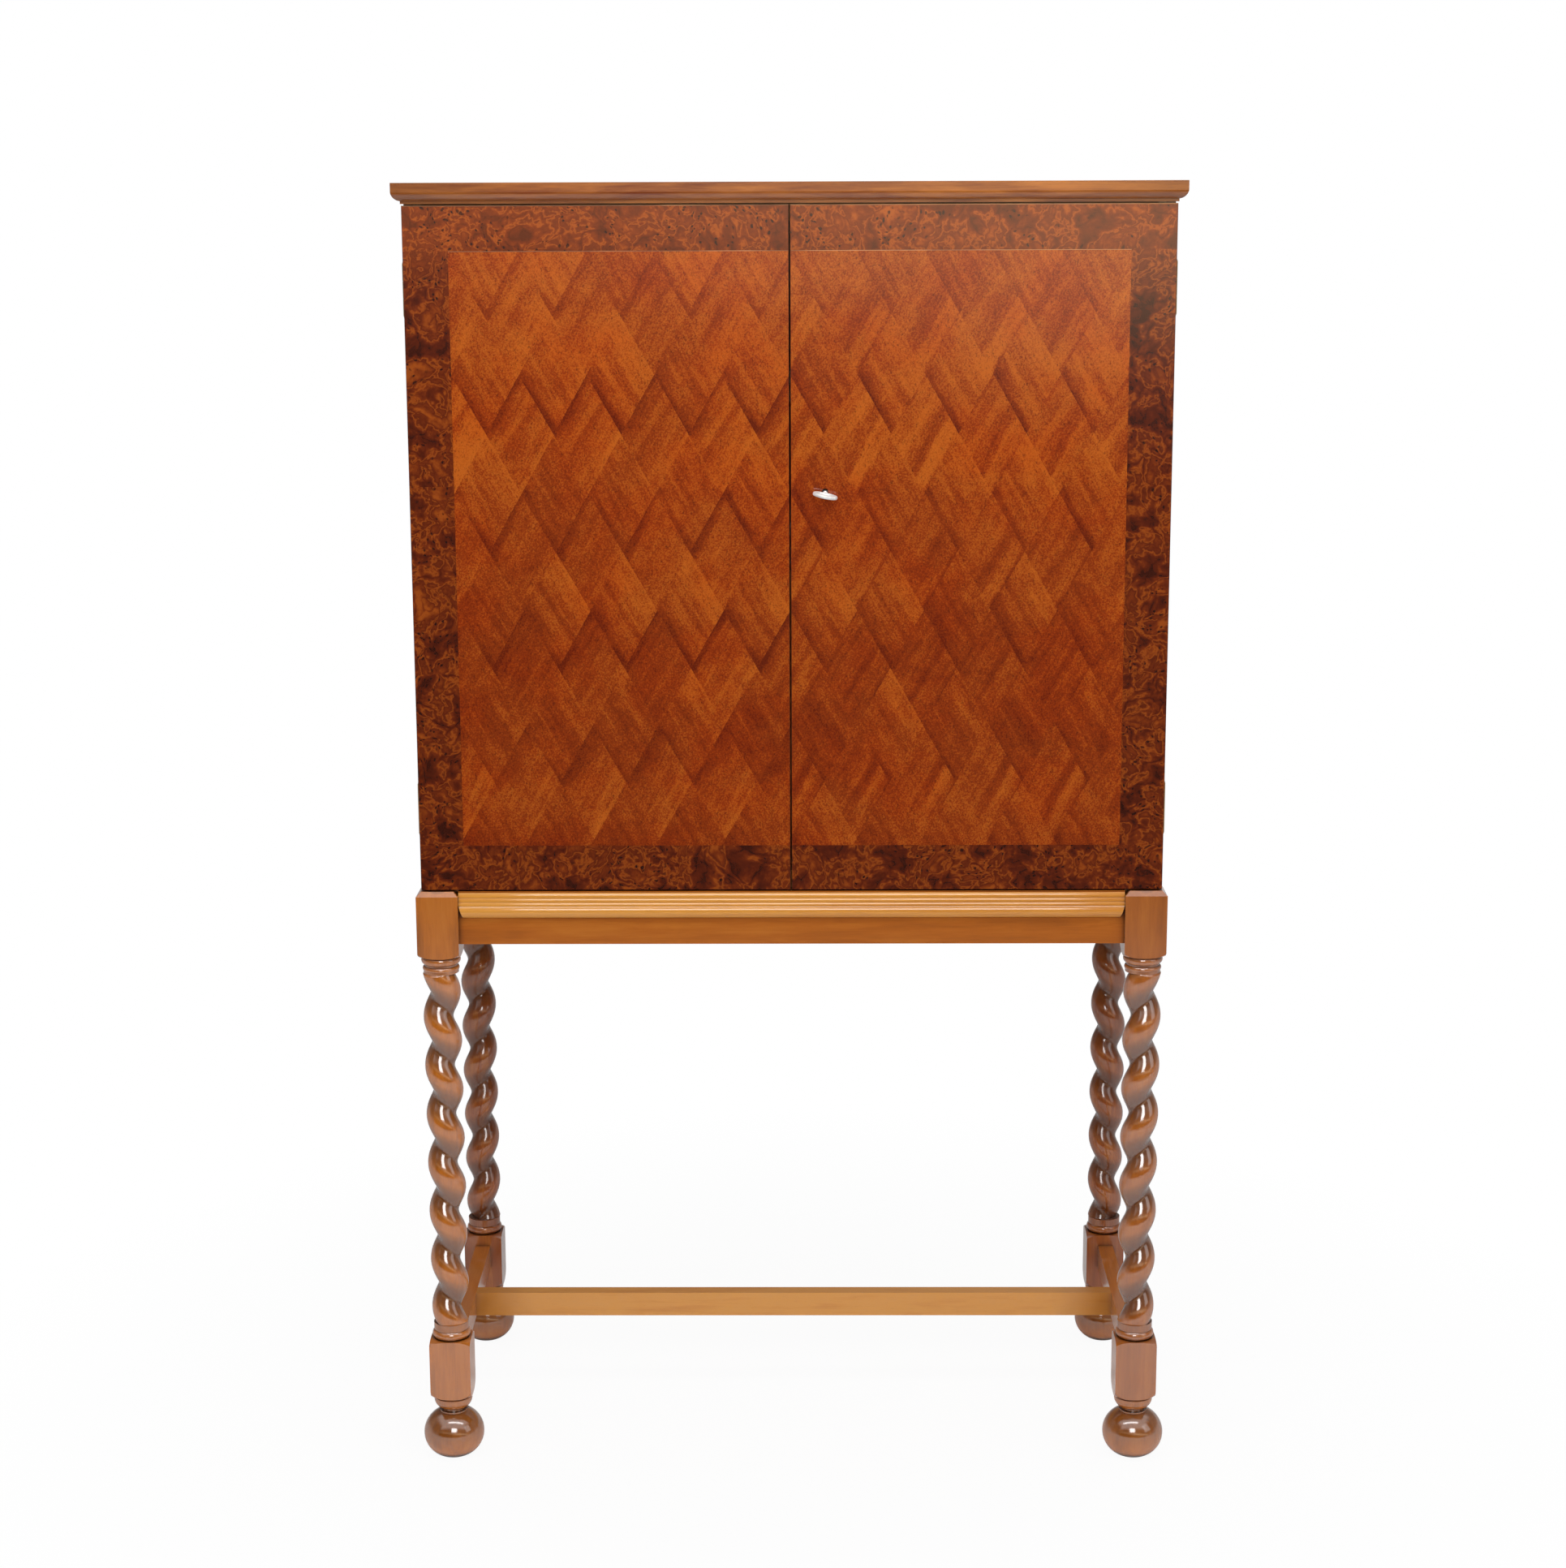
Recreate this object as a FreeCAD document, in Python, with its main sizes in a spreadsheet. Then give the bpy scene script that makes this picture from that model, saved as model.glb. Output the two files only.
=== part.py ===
"""Bar cabinet: a two-door veneered case with a moulded top, on a stand of barley twist legs.

The origin is on the floor under the middle of the cabinet, key included. +X is the viewer's
right, +Y is the back and +Z is up. Sizes are in millimetres.
"""
import FreeCAD, Part
import operator
import os
from types import SimpleNamespace

import Sketcher

# Names that end in angle are degrees, and names that end in share are parts of one.
SIZES = {
    # Whole cabinet
    "total_height": 1550.0,
    "stand_width": 895.0,
    "stand_depth": 420.0,
    "stand_height": 723.0,
    "body_inset": 6.0,
    # Moulded top
    "top_thickness": 23.5,
    "top_overhang": 10.5,
    "top_edge_height": 7.8,
    "top_fillet_height": 3.2,
    "top_fillet_reach": 1.0,
    "top_step": 0.6,
    # Doors
    "door_thickness": 20.0,
    "door_set_back": 8.4,
    "door_top_gap": 1.8,
    "door_bottom_gap": 1.5,
    "door_meeting_gap": 1.6,
    "door_case_gap": 1.0,
    "door_edge_chamfer": 0.8,
    "veneer_thickness": 1.2,
    # Case
    "side_thickness": 20.0,
    "deck_thickness": 20.0,
    "back_thickness": 6.0,
    "back_rebate": 10.0,
    "case_back_inset": 6.0,
    "shelf_thickness": 18.0,
    "shelf_set_back": 28.0,
    "shelf_clearance": 1.0,
    "fixed_shelf_height": 360.0,
    "partition_thickness": 18.0,
    "low_shelf_height": 190.0,
    "glass_shelf_height": 570.0,
    "glass_thickness": 6.0,
    "mirror_thickness": 4.0,
    "pin_radius": 2.5,
    "pin_depth": 9.0,
    "pin_reach": 9.0,
    "pin_inset": 45.0,
    # Legs, from the top down
    "post_size": 50.0,
    "post_height": 82.0,
    "post_chamfer": 5.5,
    "post_shoulder": 6.4,
    "bead_height": 10.6,
    "bead_radius": 23.8,
    "bead_root_radius": 20.0,
    "groove_height": 2.0,
    "collar_height": 5.6,
    "collar_radius": 22.2,
    "high_blend_length": 3.0,
    "low_blend_length": 9.0,
    "blend_radius": 21.2,
    "twist_radius": 18.0,
    "twist_throw": 4.8,
    "twist_pitch": 61.8,
    "twist_ridge_height": 565.5,
    "twist_zone_radius": 22.9,
    "twist_end_radius": 20.0,
    "twist_end_taper": 4.0,
    "twist_end_lap": 1.5,
    "ring_height": 11.4,
    "ring_radius": 23.3,
    "block_height": 75.5,
    "block_low_shoulder": 12.4,
    "block_high_shoulder": 4.6,
    "shoulder_radius": 21.0,
    # Bun feet
    "foot_height": 77.5,
    "foot_radius": 37.2,
    "foot_rest_radius": 20.0,
    "foot_widest_height": 28.5,
    "foot_bun_height": 56.0,
    "foot_fillet_radius": 17.0,
    "foot_fillet_height": 1.6,
    "foot_neck_radius": 13.8,
    "foot_neck_height": 2.6,
    "foot_cushion_radius": 23.4,
    "foot_cushion_height": 14.6,
    "foot_cushion_root_radius": 21.0,
    "foot_tenon_radius": 10.0,
    "foot_tenon_length": 24.0,
    # Aprons and stretchers
    "apron_height": 65.0,
    "apron_thickness": 22.0,
    "apron_set_back": 8.0,
    "stretcher_height": 31.0,
    "stretcher_thickness": 20.0,
    "stretcher_base": 108.0,
    "tenon_length": 14.0,
    "tenon_thickness": 8.0,
    "tenon_shoulder": 6.0,
    "joint_clearance": 0.15,
    "batten_size": 26.0,
    "batten_length": 250.0,
    # Apron moulding
    "moulding_height": 30.4,
    "moulding_top_gap": 1.8,
    "moulding_bead_height": 14.6,
    "moulding_bead_reach": 6.4,
    "moulding_bead_foot": 1.4,
    "moulding_reed_height": 5.0,
    "moulding_reed_reach": 4.4,
    "moulding_reed_step": 1.0,
    "moulding_reed_swell": 0.6,
    "moulding_return": 5.0,
    "moulding_end_gap": 0.3,
    # Hinges
    "hinge_height": 60.0,
    "hinge_end_distance": 95.0,
    "leaf_width": 17.0,
    "leaf_thickness": 1.6,
    "leaf_gap": 0.4,
    "knuckle_radius": 3.0,
    "knuckle_gap": 0.3,
    "hinge_pin_radius": 1.3,
    "hinge_pin_tip": 1.5,
    "running_clearance": 0.05,
    "barrel_offset": 0.5,
    "barrel_clearance": 0.5,
    "leaf_clearance": 0.1,
    # Screws
    "screw_head_radius": 2.6,
    "screw_shank_radius": 1.4,
    "screw_length": 13.0,
    "screw_slot_width": 0.7,
    "screw_slot_depth": 0.6,
    "hinge_screw_spacing": 20.0,
    "frame_screw_length": 38.0,
    "frame_screw_spacing": 90.0,
    "frame_screw_head_radius": 4.2,
    "frame_screw_shank_radius": 2.2,
    # Lock and key
    "key_height": 475.2,
    "lock_backset": 39.7,
    "lock_width": 57.5,
    "lock_rise": 25.0,
    "lock_drop": 16.0,
    "lock_depth": 12.0,
    "lock_wall": 1.2,
    "lock_face_thickness": 1.6,
    "lock_face_margin": 10.0,
    "lock_pocket_clearance": 0.1,
    "keyhole_radius": 3.4,
    "keyhole_slot_width": 3.6,
    "keyhole_slot_length": 8.5,
    "bolt_thickness": 5.0,
    "bolt_height": 9.0,
    "bolt_throw": 8.0,
    "bolt_setback": 0.4,
    "bolt_lift": 1.0,
    "bolt_clearance": 0.3,
    "bolt_lug_height": 2.2,
    "bolt_lug_width": 4.0,
    "bolt_notch_left": 2.7,
    "bolt_notch_right": 10.8,
    "strike_thickness": 1.5,
    "strike_height": 44.0,
    "strike_width": 12.0,
    "strike_hole_margin": 1.0,
    "strike_depth": 8.5,
    "key_projection": 34.5,
    "key_shaft_radius": 2.2,
    "key_collar_radius": 4.0,
    "key_collar_length": 3.0,
    "key_bow_width": 29.0,
    "key_bow_depth": 24.0,
    "key_bow_rim": 5.2,
    "key_bow_thickness": 3.0,
    "key_bit_radius": 11.0,
    "key_bit_length": 5.0,
    "key_bit_thickness": 2.4,
    "key_tilt_angle": 12.0,
    "key_droop_angle": 4.0,
    # Bolts on the left door
    "rod_radius": 3.0,
    "rod_length": 84.0,
    "rod_throw": 12.0,
    "rod_deck_gap": 1.2,
    "rod_offset": 9.0,
    "rod_from_edge": 24.0,
    "rod_knob_radius": 3.4,
    "rod_knob_length": 9.0,
    "guide_size": 11.0,
    "guide_height": 12.0,
    "guide_end_distance": 8.0,
    "bolt_plate_width": 18.0,
    "bolt_plate_height": 80.0,
    "bolt_plate_thickness": 1.5,
    "keeper_size": 16.0,
    "keeper_thickness": 1.5,
    "keeper_hole_clearance": 0.6,
    # Cuts run past the faces that they open by this much
    "overrun": 3.0,
}

# A circular quarter passes this far along its two directions at its middle.
QUARTER_NEAR_SHARE = 0.293
QUARTER_FAR_SHARE = 0.707
SHOULDER_SWELL_SHARE = 0.62
MIDDLE_SCREW_SHARE = 0.5
OUTER_SCREW_SHARE = 0.66
FULL_TURN = 360
HALF_TURN = 180
QUARTER_TURN = 90
LEFT, RIGHT = -1, 1
FRONT, BACK = -1, 1
SIDE_NAMES = {LEFT: "left", RIGHT: "right"}
FACE_NAMES = {FRONT: "front", BACK: "back"}
SIGNS = {"+": operator.add, "-": operator.sub, "*": operator.mul, "/": operator.truediv}
ALONG_X = FreeCAD.Rotation(FreeCAD.Vector(0, 1, 0), QUARTER_TURN)
ALONG_Y = FreeCAD.Rotation(FreeCAD.Vector(1, 0, 0), -QUARTER_TURN)
ALONG_Z = FreeCAD.Rotation()


class Length:
    """A size, or a sum of sizes: its value, and the spreadsheet formula that gives it."""

    def __init__(self, value, formula):
        self.value = value
        self.formula = formula

    def __add__(self, other):
        return joined(self, "+", other)

    def __radd__(self, other):
        return joined(other, "+", self)

    def __sub__(self, other):
        return joined(self, "-", other)

    def __rsub__(self, other):
        return joined(other, "-", self)

    def __mul__(self, other):
        return joined(self, "*", other)

    def __rmul__(self, other):
        return joined(other, "*", self)

    def __truediv__(self, other):
        return joined(self, "/", other)

    def __neg__(self):
        return joined(0, "-", self)


def value_of(number):
    return number.value if isinstance(number, Length) else number


def formula_of(number):
    return number.formula if isinstance(number, Length) else repr(number)


def joined(left, sign, right):
    """Join two lengths or numbers with a sign."""
    result = SIGNS[sign](value_of(left), value_of(right))
    return Length(result, f"({formula_of(left)} {sign} {formula_of(right)})")


doc = FreeCAD.newDocument("bar_cabinet")
sizes_sheet = doc.addObject("Spreadsheet::Sheet", "Sizes")
places_sheet = doc.addObject("Spreadsheet::Sheet", "Places")
place_rows = []
sub_parts = []


def fill_sizes():
    """Write the driving sizes into their sheet and give back their named lengths."""
    lengths = {}
    for row, (alias, number) in enumerate(SIZES.items(), 1):
        sizes_sheet.set(f"A{row}", alias)
        sizes_sheet.set(f"B{row}", str(number))
        sizes_sheet.setAlias(f"B{row}", alias)
        lengths[alias] = Length(number, f"Sizes.{alias}")
    return SimpleNamespace(**lengths)


def place_named(name, length):
    """Keep a worked-out place in the sheet of places, under its own name."""
    place_rows.append(name)
    row = len(place_rows)
    places_sheet.set(f"A{row}", name)
    places_sheet.set(f"B{row}", f"={length.formula}")
    places_sheet.setAlias(f"B{row}", name)
    return Length(length.value, f"Places.{name}")


S = fill_sizes()

# Where things are, from the sizes. The origin is midway between the key's bow and the back feet.
front_reach = S.post_size / 2 - S.door_set_back + S.key_projection
centre_y = place_named("centre_y", (front_reach - S.foot_radius) / 2)
leg_x = place_named("leg_x", (S.stand_width - S.post_size) / 2)
leg_reach_y = place_named("leg_reach_y", (S.stand_depth - S.post_size) / 2)
stand_front_y = place_named("stand_front_y", centre_y - S.stand_depth / 2)
stand_back_y = place_named("stand_back_y", centre_y + S.stand_depth / 2)
body_x = place_named("body_x", S.stand_width / 2 - S.body_inset)
door_front_y = place_named("door_front_y", stand_front_y + S.door_set_back)
door_back_y = place_named("door_back_y", door_front_y + S.door_thickness)
case_front_y = place_named("case_front_y", door_back_y + S.door_case_gap)
case_back_y = place_named("case_back_y", stand_back_y - S.case_back_inset)
case_top_z = place_named("case_top_z", S.total_height - S.top_thickness)
door_base_z = place_named("door_base_z", S.stand_height + S.door_bottom_gap)
door_top_z = place_named("door_top_z", case_top_z - S.door_top_gap)
inner_x = place_named("inner_x", body_x - S.side_thickness)
floor_z = place_named("floor_z", S.stand_height + S.deck_thickness)
ceiling_z = place_named("ceiling_z", case_top_z - S.deck_thickness)
inner_back_y = place_named("inner_back_y", case_back_y - S.back_thickness)
shelf_front_y = place_named("shelf_front_y", case_front_y + S.shelf_set_back)
fixed_shelf_z = place_named("fixed_shelf_z", S.stand_height + S.fixed_shelf_height)
barrel_x = place_named("barrel_x", body_x + S.barrel_offset)
barrel_y = place_named("barrel_y", door_back_y + S.door_case_gap / 2)
door_edge_x = place_named("door_edge_x", S.door_meeting_gap / 2)
key_x = place_named("key_x", door_edge_x + S.lock_backset)
key_z = place_named("key_z", S.stand_height + S.key_height)
lock_front_y = place_named("lock_front_y", door_back_y - S.lock_depth)
apron_base_z = place_named("apron_base_z", S.stand_height - S.apron_height)
twist_base_z = place_named("twist_base_z", S.foot_height + S.block_height + S.ring_height)
twist_top_z = place_named(
    "twist_top_z",
    S.stand_height - S.post_height - S.bead_height - S.groove_height - S.collar_height,
)
rod_x = place_named("rod_x", -(door_edge_x + S.rod_from_edge))
rod_y = place_named("rod_y", door_back_y + S.rod_offset)


def bind(obj, name, length):
    """Tie a property to its size."""
    if isinstance(length, Length):
        obj.setExpression(name, length.formula)
    else:
        setattr(obj, name, length)


def place(obj, x, y, z, rotation=None):
    """Put an object at a place that follows the sizes."""
    corner = FreeCAD.Vector(value_of(x), value_of(y), value_of(z))
    obj.Placement = FreeCAD.Placement(corner, rotation or obj.Placement.Rotation)
    for axis, length in zip("xyz", (x, y, z)):
        if isinstance(length, Length):
            obj.setExpression(f".Placement.Base.{axis}", length.formula)
    return obj


def in_order(first, second):
    return (first, second) if value_of(first) <= value_of(second) else (second, first)


def box(name, corner, far_corner):
    """A box between two corners, given in any order."""
    obj = doc.addObject("Part::Box", name)
    lows = []
    for side, first, second in zip(("Length", "Width", "Height"), corner, far_corner):
        low, high = in_order(first, second)
        bind(obj, side, high - low)
        lows.append(low)
    return place(obj, *lows)


def cylinder(name, start, radius, length, rotation=ALONG_Z):
    """A cylinder that starts at a point and runs along the rotation's axis."""
    obj = doc.addObject("Part::Cylinder", name)
    bind(obj, "Radius", radius)
    bind(obj, "Height", length)
    return place(obj, *start, rotation)


def fuse(name, parts):
    obj = doc.addObject("Part::MultiFuse", name)
    obj.Shapes = parts
    return obj


def cut(name, base, tools):
    obj = doc.addObject("Part::Cut", name)
    obj.Base = base
    obj.Tool = tools[0] if len(tools) == 1 else fuse(f"{name}_tools", tools)
    return obj


def common(name, base, tool):
    obj = doc.addObject("Part::Common", name)
    obj.Base = base
    obj.Tool = tool
    return obj


def sub_part(obj, label):
    """Name a finished piece and keep it for the hand-out."""
    obj.Label = label
    sub_parts.append(obj)
    return obj


def point(corner):
    return FreeCAD.Vector(value_of(corner[0]), value_of(corner[1]), 0)


def tie_point(sketch, index, end, corner):
    """Hold a point of a sketch at its named place."""
    for name, axis, length in (("DistanceX", -2, corner[0]), ("DistanceY", -1, corner[1])):
        if isinstance(length, Length):
            row = sketch.addConstraint(Sketcher.Constraint(name, -1, 1, index, end, length.value))
            sketch.setExpression(f"Constraints[{row}]", length.formula)
        else:
            sketch.addConstraint(Sketcher.Constraint("PointOnObject", index, end, axis))


def draw_outline(sketch, start, steps):
    """Draw a closed outline. A step is an end point, with a middle point before it on an arc."""
    corner = start
    ends = []
    for step in steps:
        if len(step) == 1:
            stretch = Part.LineSegment(point(corner), point(step[-1]))
        else:
            stretch = Part.Arc(point(corner), point(step[0]), point(step[-1]))
        index = sketch.addGeometry(stretch, False)
        first = 1
        if sketch.getPoint(index, 1).distanceToPoint(point(corner)) > sketch.getPoint(
            index, 2
        ).distanceToPoint(point(corner)):
            first = 2
        tie_point(sketch, index, first, corner)
        if len(step) > 1:
            middle = sketch.addGeometry(Part.Point(point(step[0])), True)
            sketch.addConstraint(Sketcher.Constraint("PointOnObject", middle, 1, index))
            tie_point(sketch, middle, 1, step[0])
        ends.append((index, first, 3 - first))
        corner = step[-1]
    for this, following in zip(ends, ends[1:] + ends[:1]):
        sketch.addConstraint(
            Sketcher.Constraint("Coincident", this[0], this[2], following[0], following[1])
        )


def body_sketch(body, name, plane):
    sketch = body.newObject("Sketcher::SketchObject", name)
    support = [item for item in body.Origin.OriginFeatures if item.Role == plane][0]
    sketch.AttachmentSupport = [(support, "")]
    sketch.MapMode = "FlatFace"
    return sketch


def turned(name, start, steps):
    """A piece turned about the upright axis from its half outline."""
    body = doc.addObject("PartDesign::Body", name)
    sketch = body_sketch(body, f"{name}_outline", "XZ_Plane")
    draw_outline(sketch, start, steps)
    turning = body.newObject("PartDesign::Revolution", f"{name}_turning")
    turning.Profile = sketch
    turning.ReferenceAxis = (sketch, ["V_Axis"])
    turning.Angle = FULL_TURN
    body.Tip = turning
    return body


def padded(name, start, steps, length):
    """A piece of one section, drawn outwards along Y and up along Z, run both ways along X."""
    body = doc.addObject("PartDesign::Body", name)
    sketch = body_sketch(body, f"{name}_section", "YZ_Plane")
    draw_outline(sketch, start, steps)
    pad = body.newObject("PartDesign::Pad", f"{name}_pad")
    pad.Profile = sketch
    pad.SideType = "Symmetric"
    bind(pad, "Length", length)
    body.Tip = pad
    return body


def rectangle(corner, far_corner):
    """Start and steps of a rectangular outline."""
    (left, low), (right, high) = corner, far_corner
    return (left, low), [((right, low),), ((right, high),), ((left, high),), ((left, low),)]


def chamfer_where(body, name, size, chosen):
    """Chamfer the edges of a body's tip that a test on their middle point picks."""
    doc.recompute()
    tip = body.Tip
    picked = []
    for number, edge in enumerate(tip.Shape.Edges, 1):
        if chosen(edge.CenterOfMass):
            picked.append(f"Edge{number}")
    chamfer = body.newObject("PartDesign::Chamfer", name)
    chamfer.Base = (tip, picked)
    bind(chamfer, "Size", size)
    body.Tip = chamfer
    return body


def arc_shoulder(inner_radius, outer_radius, start_z, end_z):
    """A swelling shoulder between two radii of a turned piece."""
    middle_r = inner_radius + (outer_radius - inner_radius) * QUARTER_FAR_SHARE
    middle_z = start_z + (end_z - start_z) * QUARTER_NEAR_SHARE
    return ((middle_r, middle_z), (outer_radius, end_z))


def closing_shoulder(outer_radius, inner_radius, start_z, end_z):
    middle_r = inner_radius + (outer_radius - inner_radius) * QUARTER_FAR_SHARE
    middle_z = end_z - (end_z - start_z) * QUARTER_NEAR_SHARE
    return ((middle_r, middle_z), (inner_radius, end_z))


def leg_low_turning(name):
    """Block shoulders, ring and the start of the twist."""
    envelope = S.post_size
    low = S.foot_height
    block_end = low + S.block_height
    ring_end = block_end + S.ring_height
    ring_mid = block_end + S.ring_height / 2
    blend_end = ring_end + S.low_blend_length
    steps = [
        ((S.shoulder_radius, low),),
        arc_shoulder(S.shoulder_radius, envelope * QUARTER_FAR_SHARE, low, low + S.block_low_shoulder),
        ((envelope, low + S.block_low_shoulder),),
        ((envelope, block_end - S.block_high_shoulder),),
        ((envelope * QUARTER_FAR_SHARE, block_end - S.block_high_shoulder),),
        closing_shoulder(
            envelope * QUARTER_FAR_SHARE,
            S.bead_root_radius,
            block_end - S.block_high_shoulder,
            block_end,
        ),
        ((S.ring_radius, ring_mid), (S.bead_root_radius, ring_end)),
        ((S.blend_radius, ring_end),),
        ((S.blend_radius, blend_end),),
        ((0, blend_end),),
        ((0, low),),
    ]
    return turned(name, (0, low), steps)


def leg_high_turning(name):
    """End of the twist, collar, groove, bead and the post's shoulder."""
    envelope = S.post_size
    post_base = S.stand_height - S.post_height
    bead_base = post_base - S.bead_height
    collar_top = bead_base - S.groove_height
    start = twist_top_z - S.high_blend_length
    steps = [
        ((S.blend_radius, start),),
        ((S.blend_radius, twist_top_z),),
        ((S.collar_radius, collar_top - S.collar_height / 2), (S.bead_root_radius, collar_top)),
        ((S.bead_root_radius, bead_base),),
        ((S.bead_radius, bead_base + S.bead_height / 2), (S.bead_root_radius, post_base)),
        arc_shoulder(
            S.bead_root_radius, envelope * QUARTER_FAR_SHARE, post_base, post_base + S.post_shoulder
        ),
        ((envelope, post_base + S.post_shoulder),),
        ((envelope, S.stand_height),),
        ((0, S.stand_height),),
        ((0, start),),
    ]
    return turned(name, (0, start), steps)


def square_bar(name):
    """The square blank of a leg, chamfered round its top."""
    half = S.post_size / 2
    body = doc.addObject("PartDesign::Body", name)
    sketch = body_sketch(body, f"{name}_section", "XY_Plane")
    sketch.addGeometry(
        [
            Part.LineSegment(point((-half, -half)), point((half, -half))),
            Part.LineSegment(point((half, -half)), point((half, half))),
            Part.LineSegment(point((half, half)), point((-half, half))),
            Part.LineSegment(point((-half, half)), point((-half, -half))),
        ],
        False,
    )
    for index in range(4):
        sketch.addConstraint(Sketcher.Constraint("Coincident", index, 2, (index + 1) % 4, 1))
    for name_of, index in (("Horizontal", 0), ("Vertical", 1), ("Horizontal", 2), ("Vertical", 3)):
        sketch.addConstraint(Sketcher.Constraint(name_of, index))
    sketch.addConstraint(Sketcher.Constraint("Symmetric", 0, 1, 1, 2, -1, 1))
    for index in (0, 1):
        row = sketch.addConstraint(Sketcher.Constraint("Distance", index, S.post_size.value))
        sketch.setExpression(f"Constraints[{row}]", S.post_size.formula)
    pad = body.newObject("PartDesign::Pad", f"{name}_pad")
    pad.Profile = sketch
    bind(pad, "Length", S.stand_height)
    body.Tip = pad
    top = S.stand_height.value
    return chamfer_where(body, f"{name}_chamfer", S.post_chamfer, lambda middle: middle.z >= top)


def barley_twist(name, side, face):
    """A round rod that winds about the leg's axis, cut square at both ends."""
    hand = side * face
    start_z = twist_base_z - S.twist_pitch / 2
    helix = doc.addObject("Part::Helix", f"{name}_helix")
    helix.LocalCoord = "Left-handed" if hand > 0 else "Right-handed"
    bind(helix, "Pitch", S.twist_pitch)
    bind(helix, "Height", twist_top_z - twist_base_z + S.twist_pitch)
    bind(helix, "Radius", S.twist_throw)
    outward = HALF_TURN if side == LEFT else 0
    turns = (start_z - S.twist_ridge_height) / S.twist_pitch
    ridge_angle = outward - hand * FULL_TURN * turns
    place(helix, 0, 0, start_z)
    # A heading must lie within half a turn either way.
    raised = f"mod({formula_of(ridge_angle)}; {FULL_TURN}) + {FULL_TURN + HALF_TURN}"
    heading = f"(mod({raised}; {FULL_TURN}) - {HALF_TURN}) * 1 deg"
    helix.setExpression(".Placement.Rotation.Yaw", heading)
    section = doc.addObject("Part::Circle", f"{name}_section")
    bind(section, "Radius", S.twist_radius)
    section.AttachmentSupport = [(helix, "Edge1")]
    section.MapMode = "NormalToEdge"
    rod = doc.addObject("Part::Sweep", f"{name}_rod")
    rod.Sections = [section]
    rod.Spine = (helix, [])
    rod.Solid = True
    rod.Frenet = True
    low = twist_base_z + S.low_blend_length - S.twist_end_lap
    high = twist_top_z - S.high_blend_length + S.twist_end_lap
    steps = [
        ((S.twist_end_radius, low),),
        ((S.twist_zone_radius, low + S.twist_end_taper),),
        ((S.twist_zone_radius, high - S.twist_end_taper),),
        ((S.twist_end_radius, high),),
        ((0, high),),
        ((0, low),),
    ]
    zone = turned(f"{name}_zone", (0, low), steps)
    return common(f"{name}_twist", rod, zone)


def leg_mortises(name, side, face):
    """Sockets for the apron tenons, the stretcher tenon and the foot's tenon."""
    half = S.post_size / 2
    slack = S.joint_clearance
    depth = S.tenon_length + slack
    # Along each way in: from the leg's axis towards the cabinet's middle.
    apron_line = half - S.apron_set_back - S.apron_thickness / 2
    low = apron_base_z + S.tenon_shoulder - slack
    high = S.stand_height - S.tenon_shoulder + slack
    wide = S.tenon_thickness / 2 + slack
    in_x = -side
    in_y = -face
    apron_x = face * apron_line
    apron_y = side * apron_line
    start = half - depth
    end = half + S.overrun
    cross = box(
        f"{name}_mortise_x",
        (in_x * start, apron_x - wide, low),
        (in_x * end, apron_x + wide, high),
    )
    along = box(
        f"{name}_mortise_y",
        (apron_y - wide, in_y * start, low),
        (apron_y + wide, in_y * end, high),
    )
    stretcher_low = S.stretcher_base + S.tenon_shoulder - slack
    stretcher_high = S.stretcher_base + S.stretcher_height - S.tenon_shoulder + slack
    stretcher = box(
        f"{name}_mortise_low",
        (-wide, in_y * start, stretcher_low),
        (wide, in_y * end, stretcher_high),
    )
    socket = cylinder(
        f"{name}_socket",
        (0, 0, S.foot_height - S.overrun),
        S.foot_tenon_radius + slack,
        S.foot_tenon_length + slack + S.overrun,
    )
    return [cross, along, stretcher, socket]


def leg(side, face):
    """One leg: post, collar, barley twist, ring and block, all from one length of wood."""
    name = f"leg_{FACE_NAMES[face]}_{SIDE_NAMES[side]}"
    bar = square_bar(f"{name}_bar")
    high = common(f"{name}_high", leg_high_turning(f"{name}_high_turning"), bar)
    low = common(f"{name}_low", leg_low_turning(f"{name}_low_turning"), bar)
    whole = fuse(f"{name}_blank", [low, barley_twist(name, side, face), high])
    piece = cut(name, whole, leg_mortises(name, side, face))
    place(piece, side * leg_x, centre_y + face * leg_reach_y, 0)
    sub_part(piece, name)


def bun_foot(side, face):
    """A turned bun foot with its neck, cushion and tenon."""
    name = f"bun_foot_{FACE_NAMES[face]}_{SIDE_NAMES[side]}"
    fillet_top = S.foot_bun_height + S.foot_fillet_height
    neck_top = fillet_top + S.foot_neck_height
    widest = neck_top + S.foot_cushion_height
    cushion_gap = S.foot_height - widest
    swell_r = S.foot_neck_radius + (S.foot_cushion_radius - S.foot_neck_radius) * QUARTER_FAR_SHARE
    swell_z = neck_top + S.foot_cushion_height * QUARTER_NEAR_SHARE
    steps = [
        ((S.foot_rest_radius, 0),),
        ((S.foot_radius, S.foot_widest_height), (S.foot_fillet_radius, S.foot_bun_height)),
        ((S.foot_fillet_radius, fillet_top),),
        ((S.foot_neck_radius, fillet_top),),
        ((S.foot_neck_radius, neck_top),),
        ((swell_r, swell_z), (S.foot_cushion_radius, widest)),
        ((S.foot_cushion_root_radius, widest + cushion_gap),),
        ((S.foot_tenon_radius, S.foot_height),),
        ((S.foot_tenon_radius, S.foot_height + S.foot_tenon_length),),
        ((0, S.foot_height + S.foot_tenon_length),),
        ((0, 0),),
    ]
    foot = turned(name, (0, 0), steps)
    place(foot, side * leg_x, centre_y + face * leg_reach_y, 0)
    sub_part(foot, name)


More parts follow.
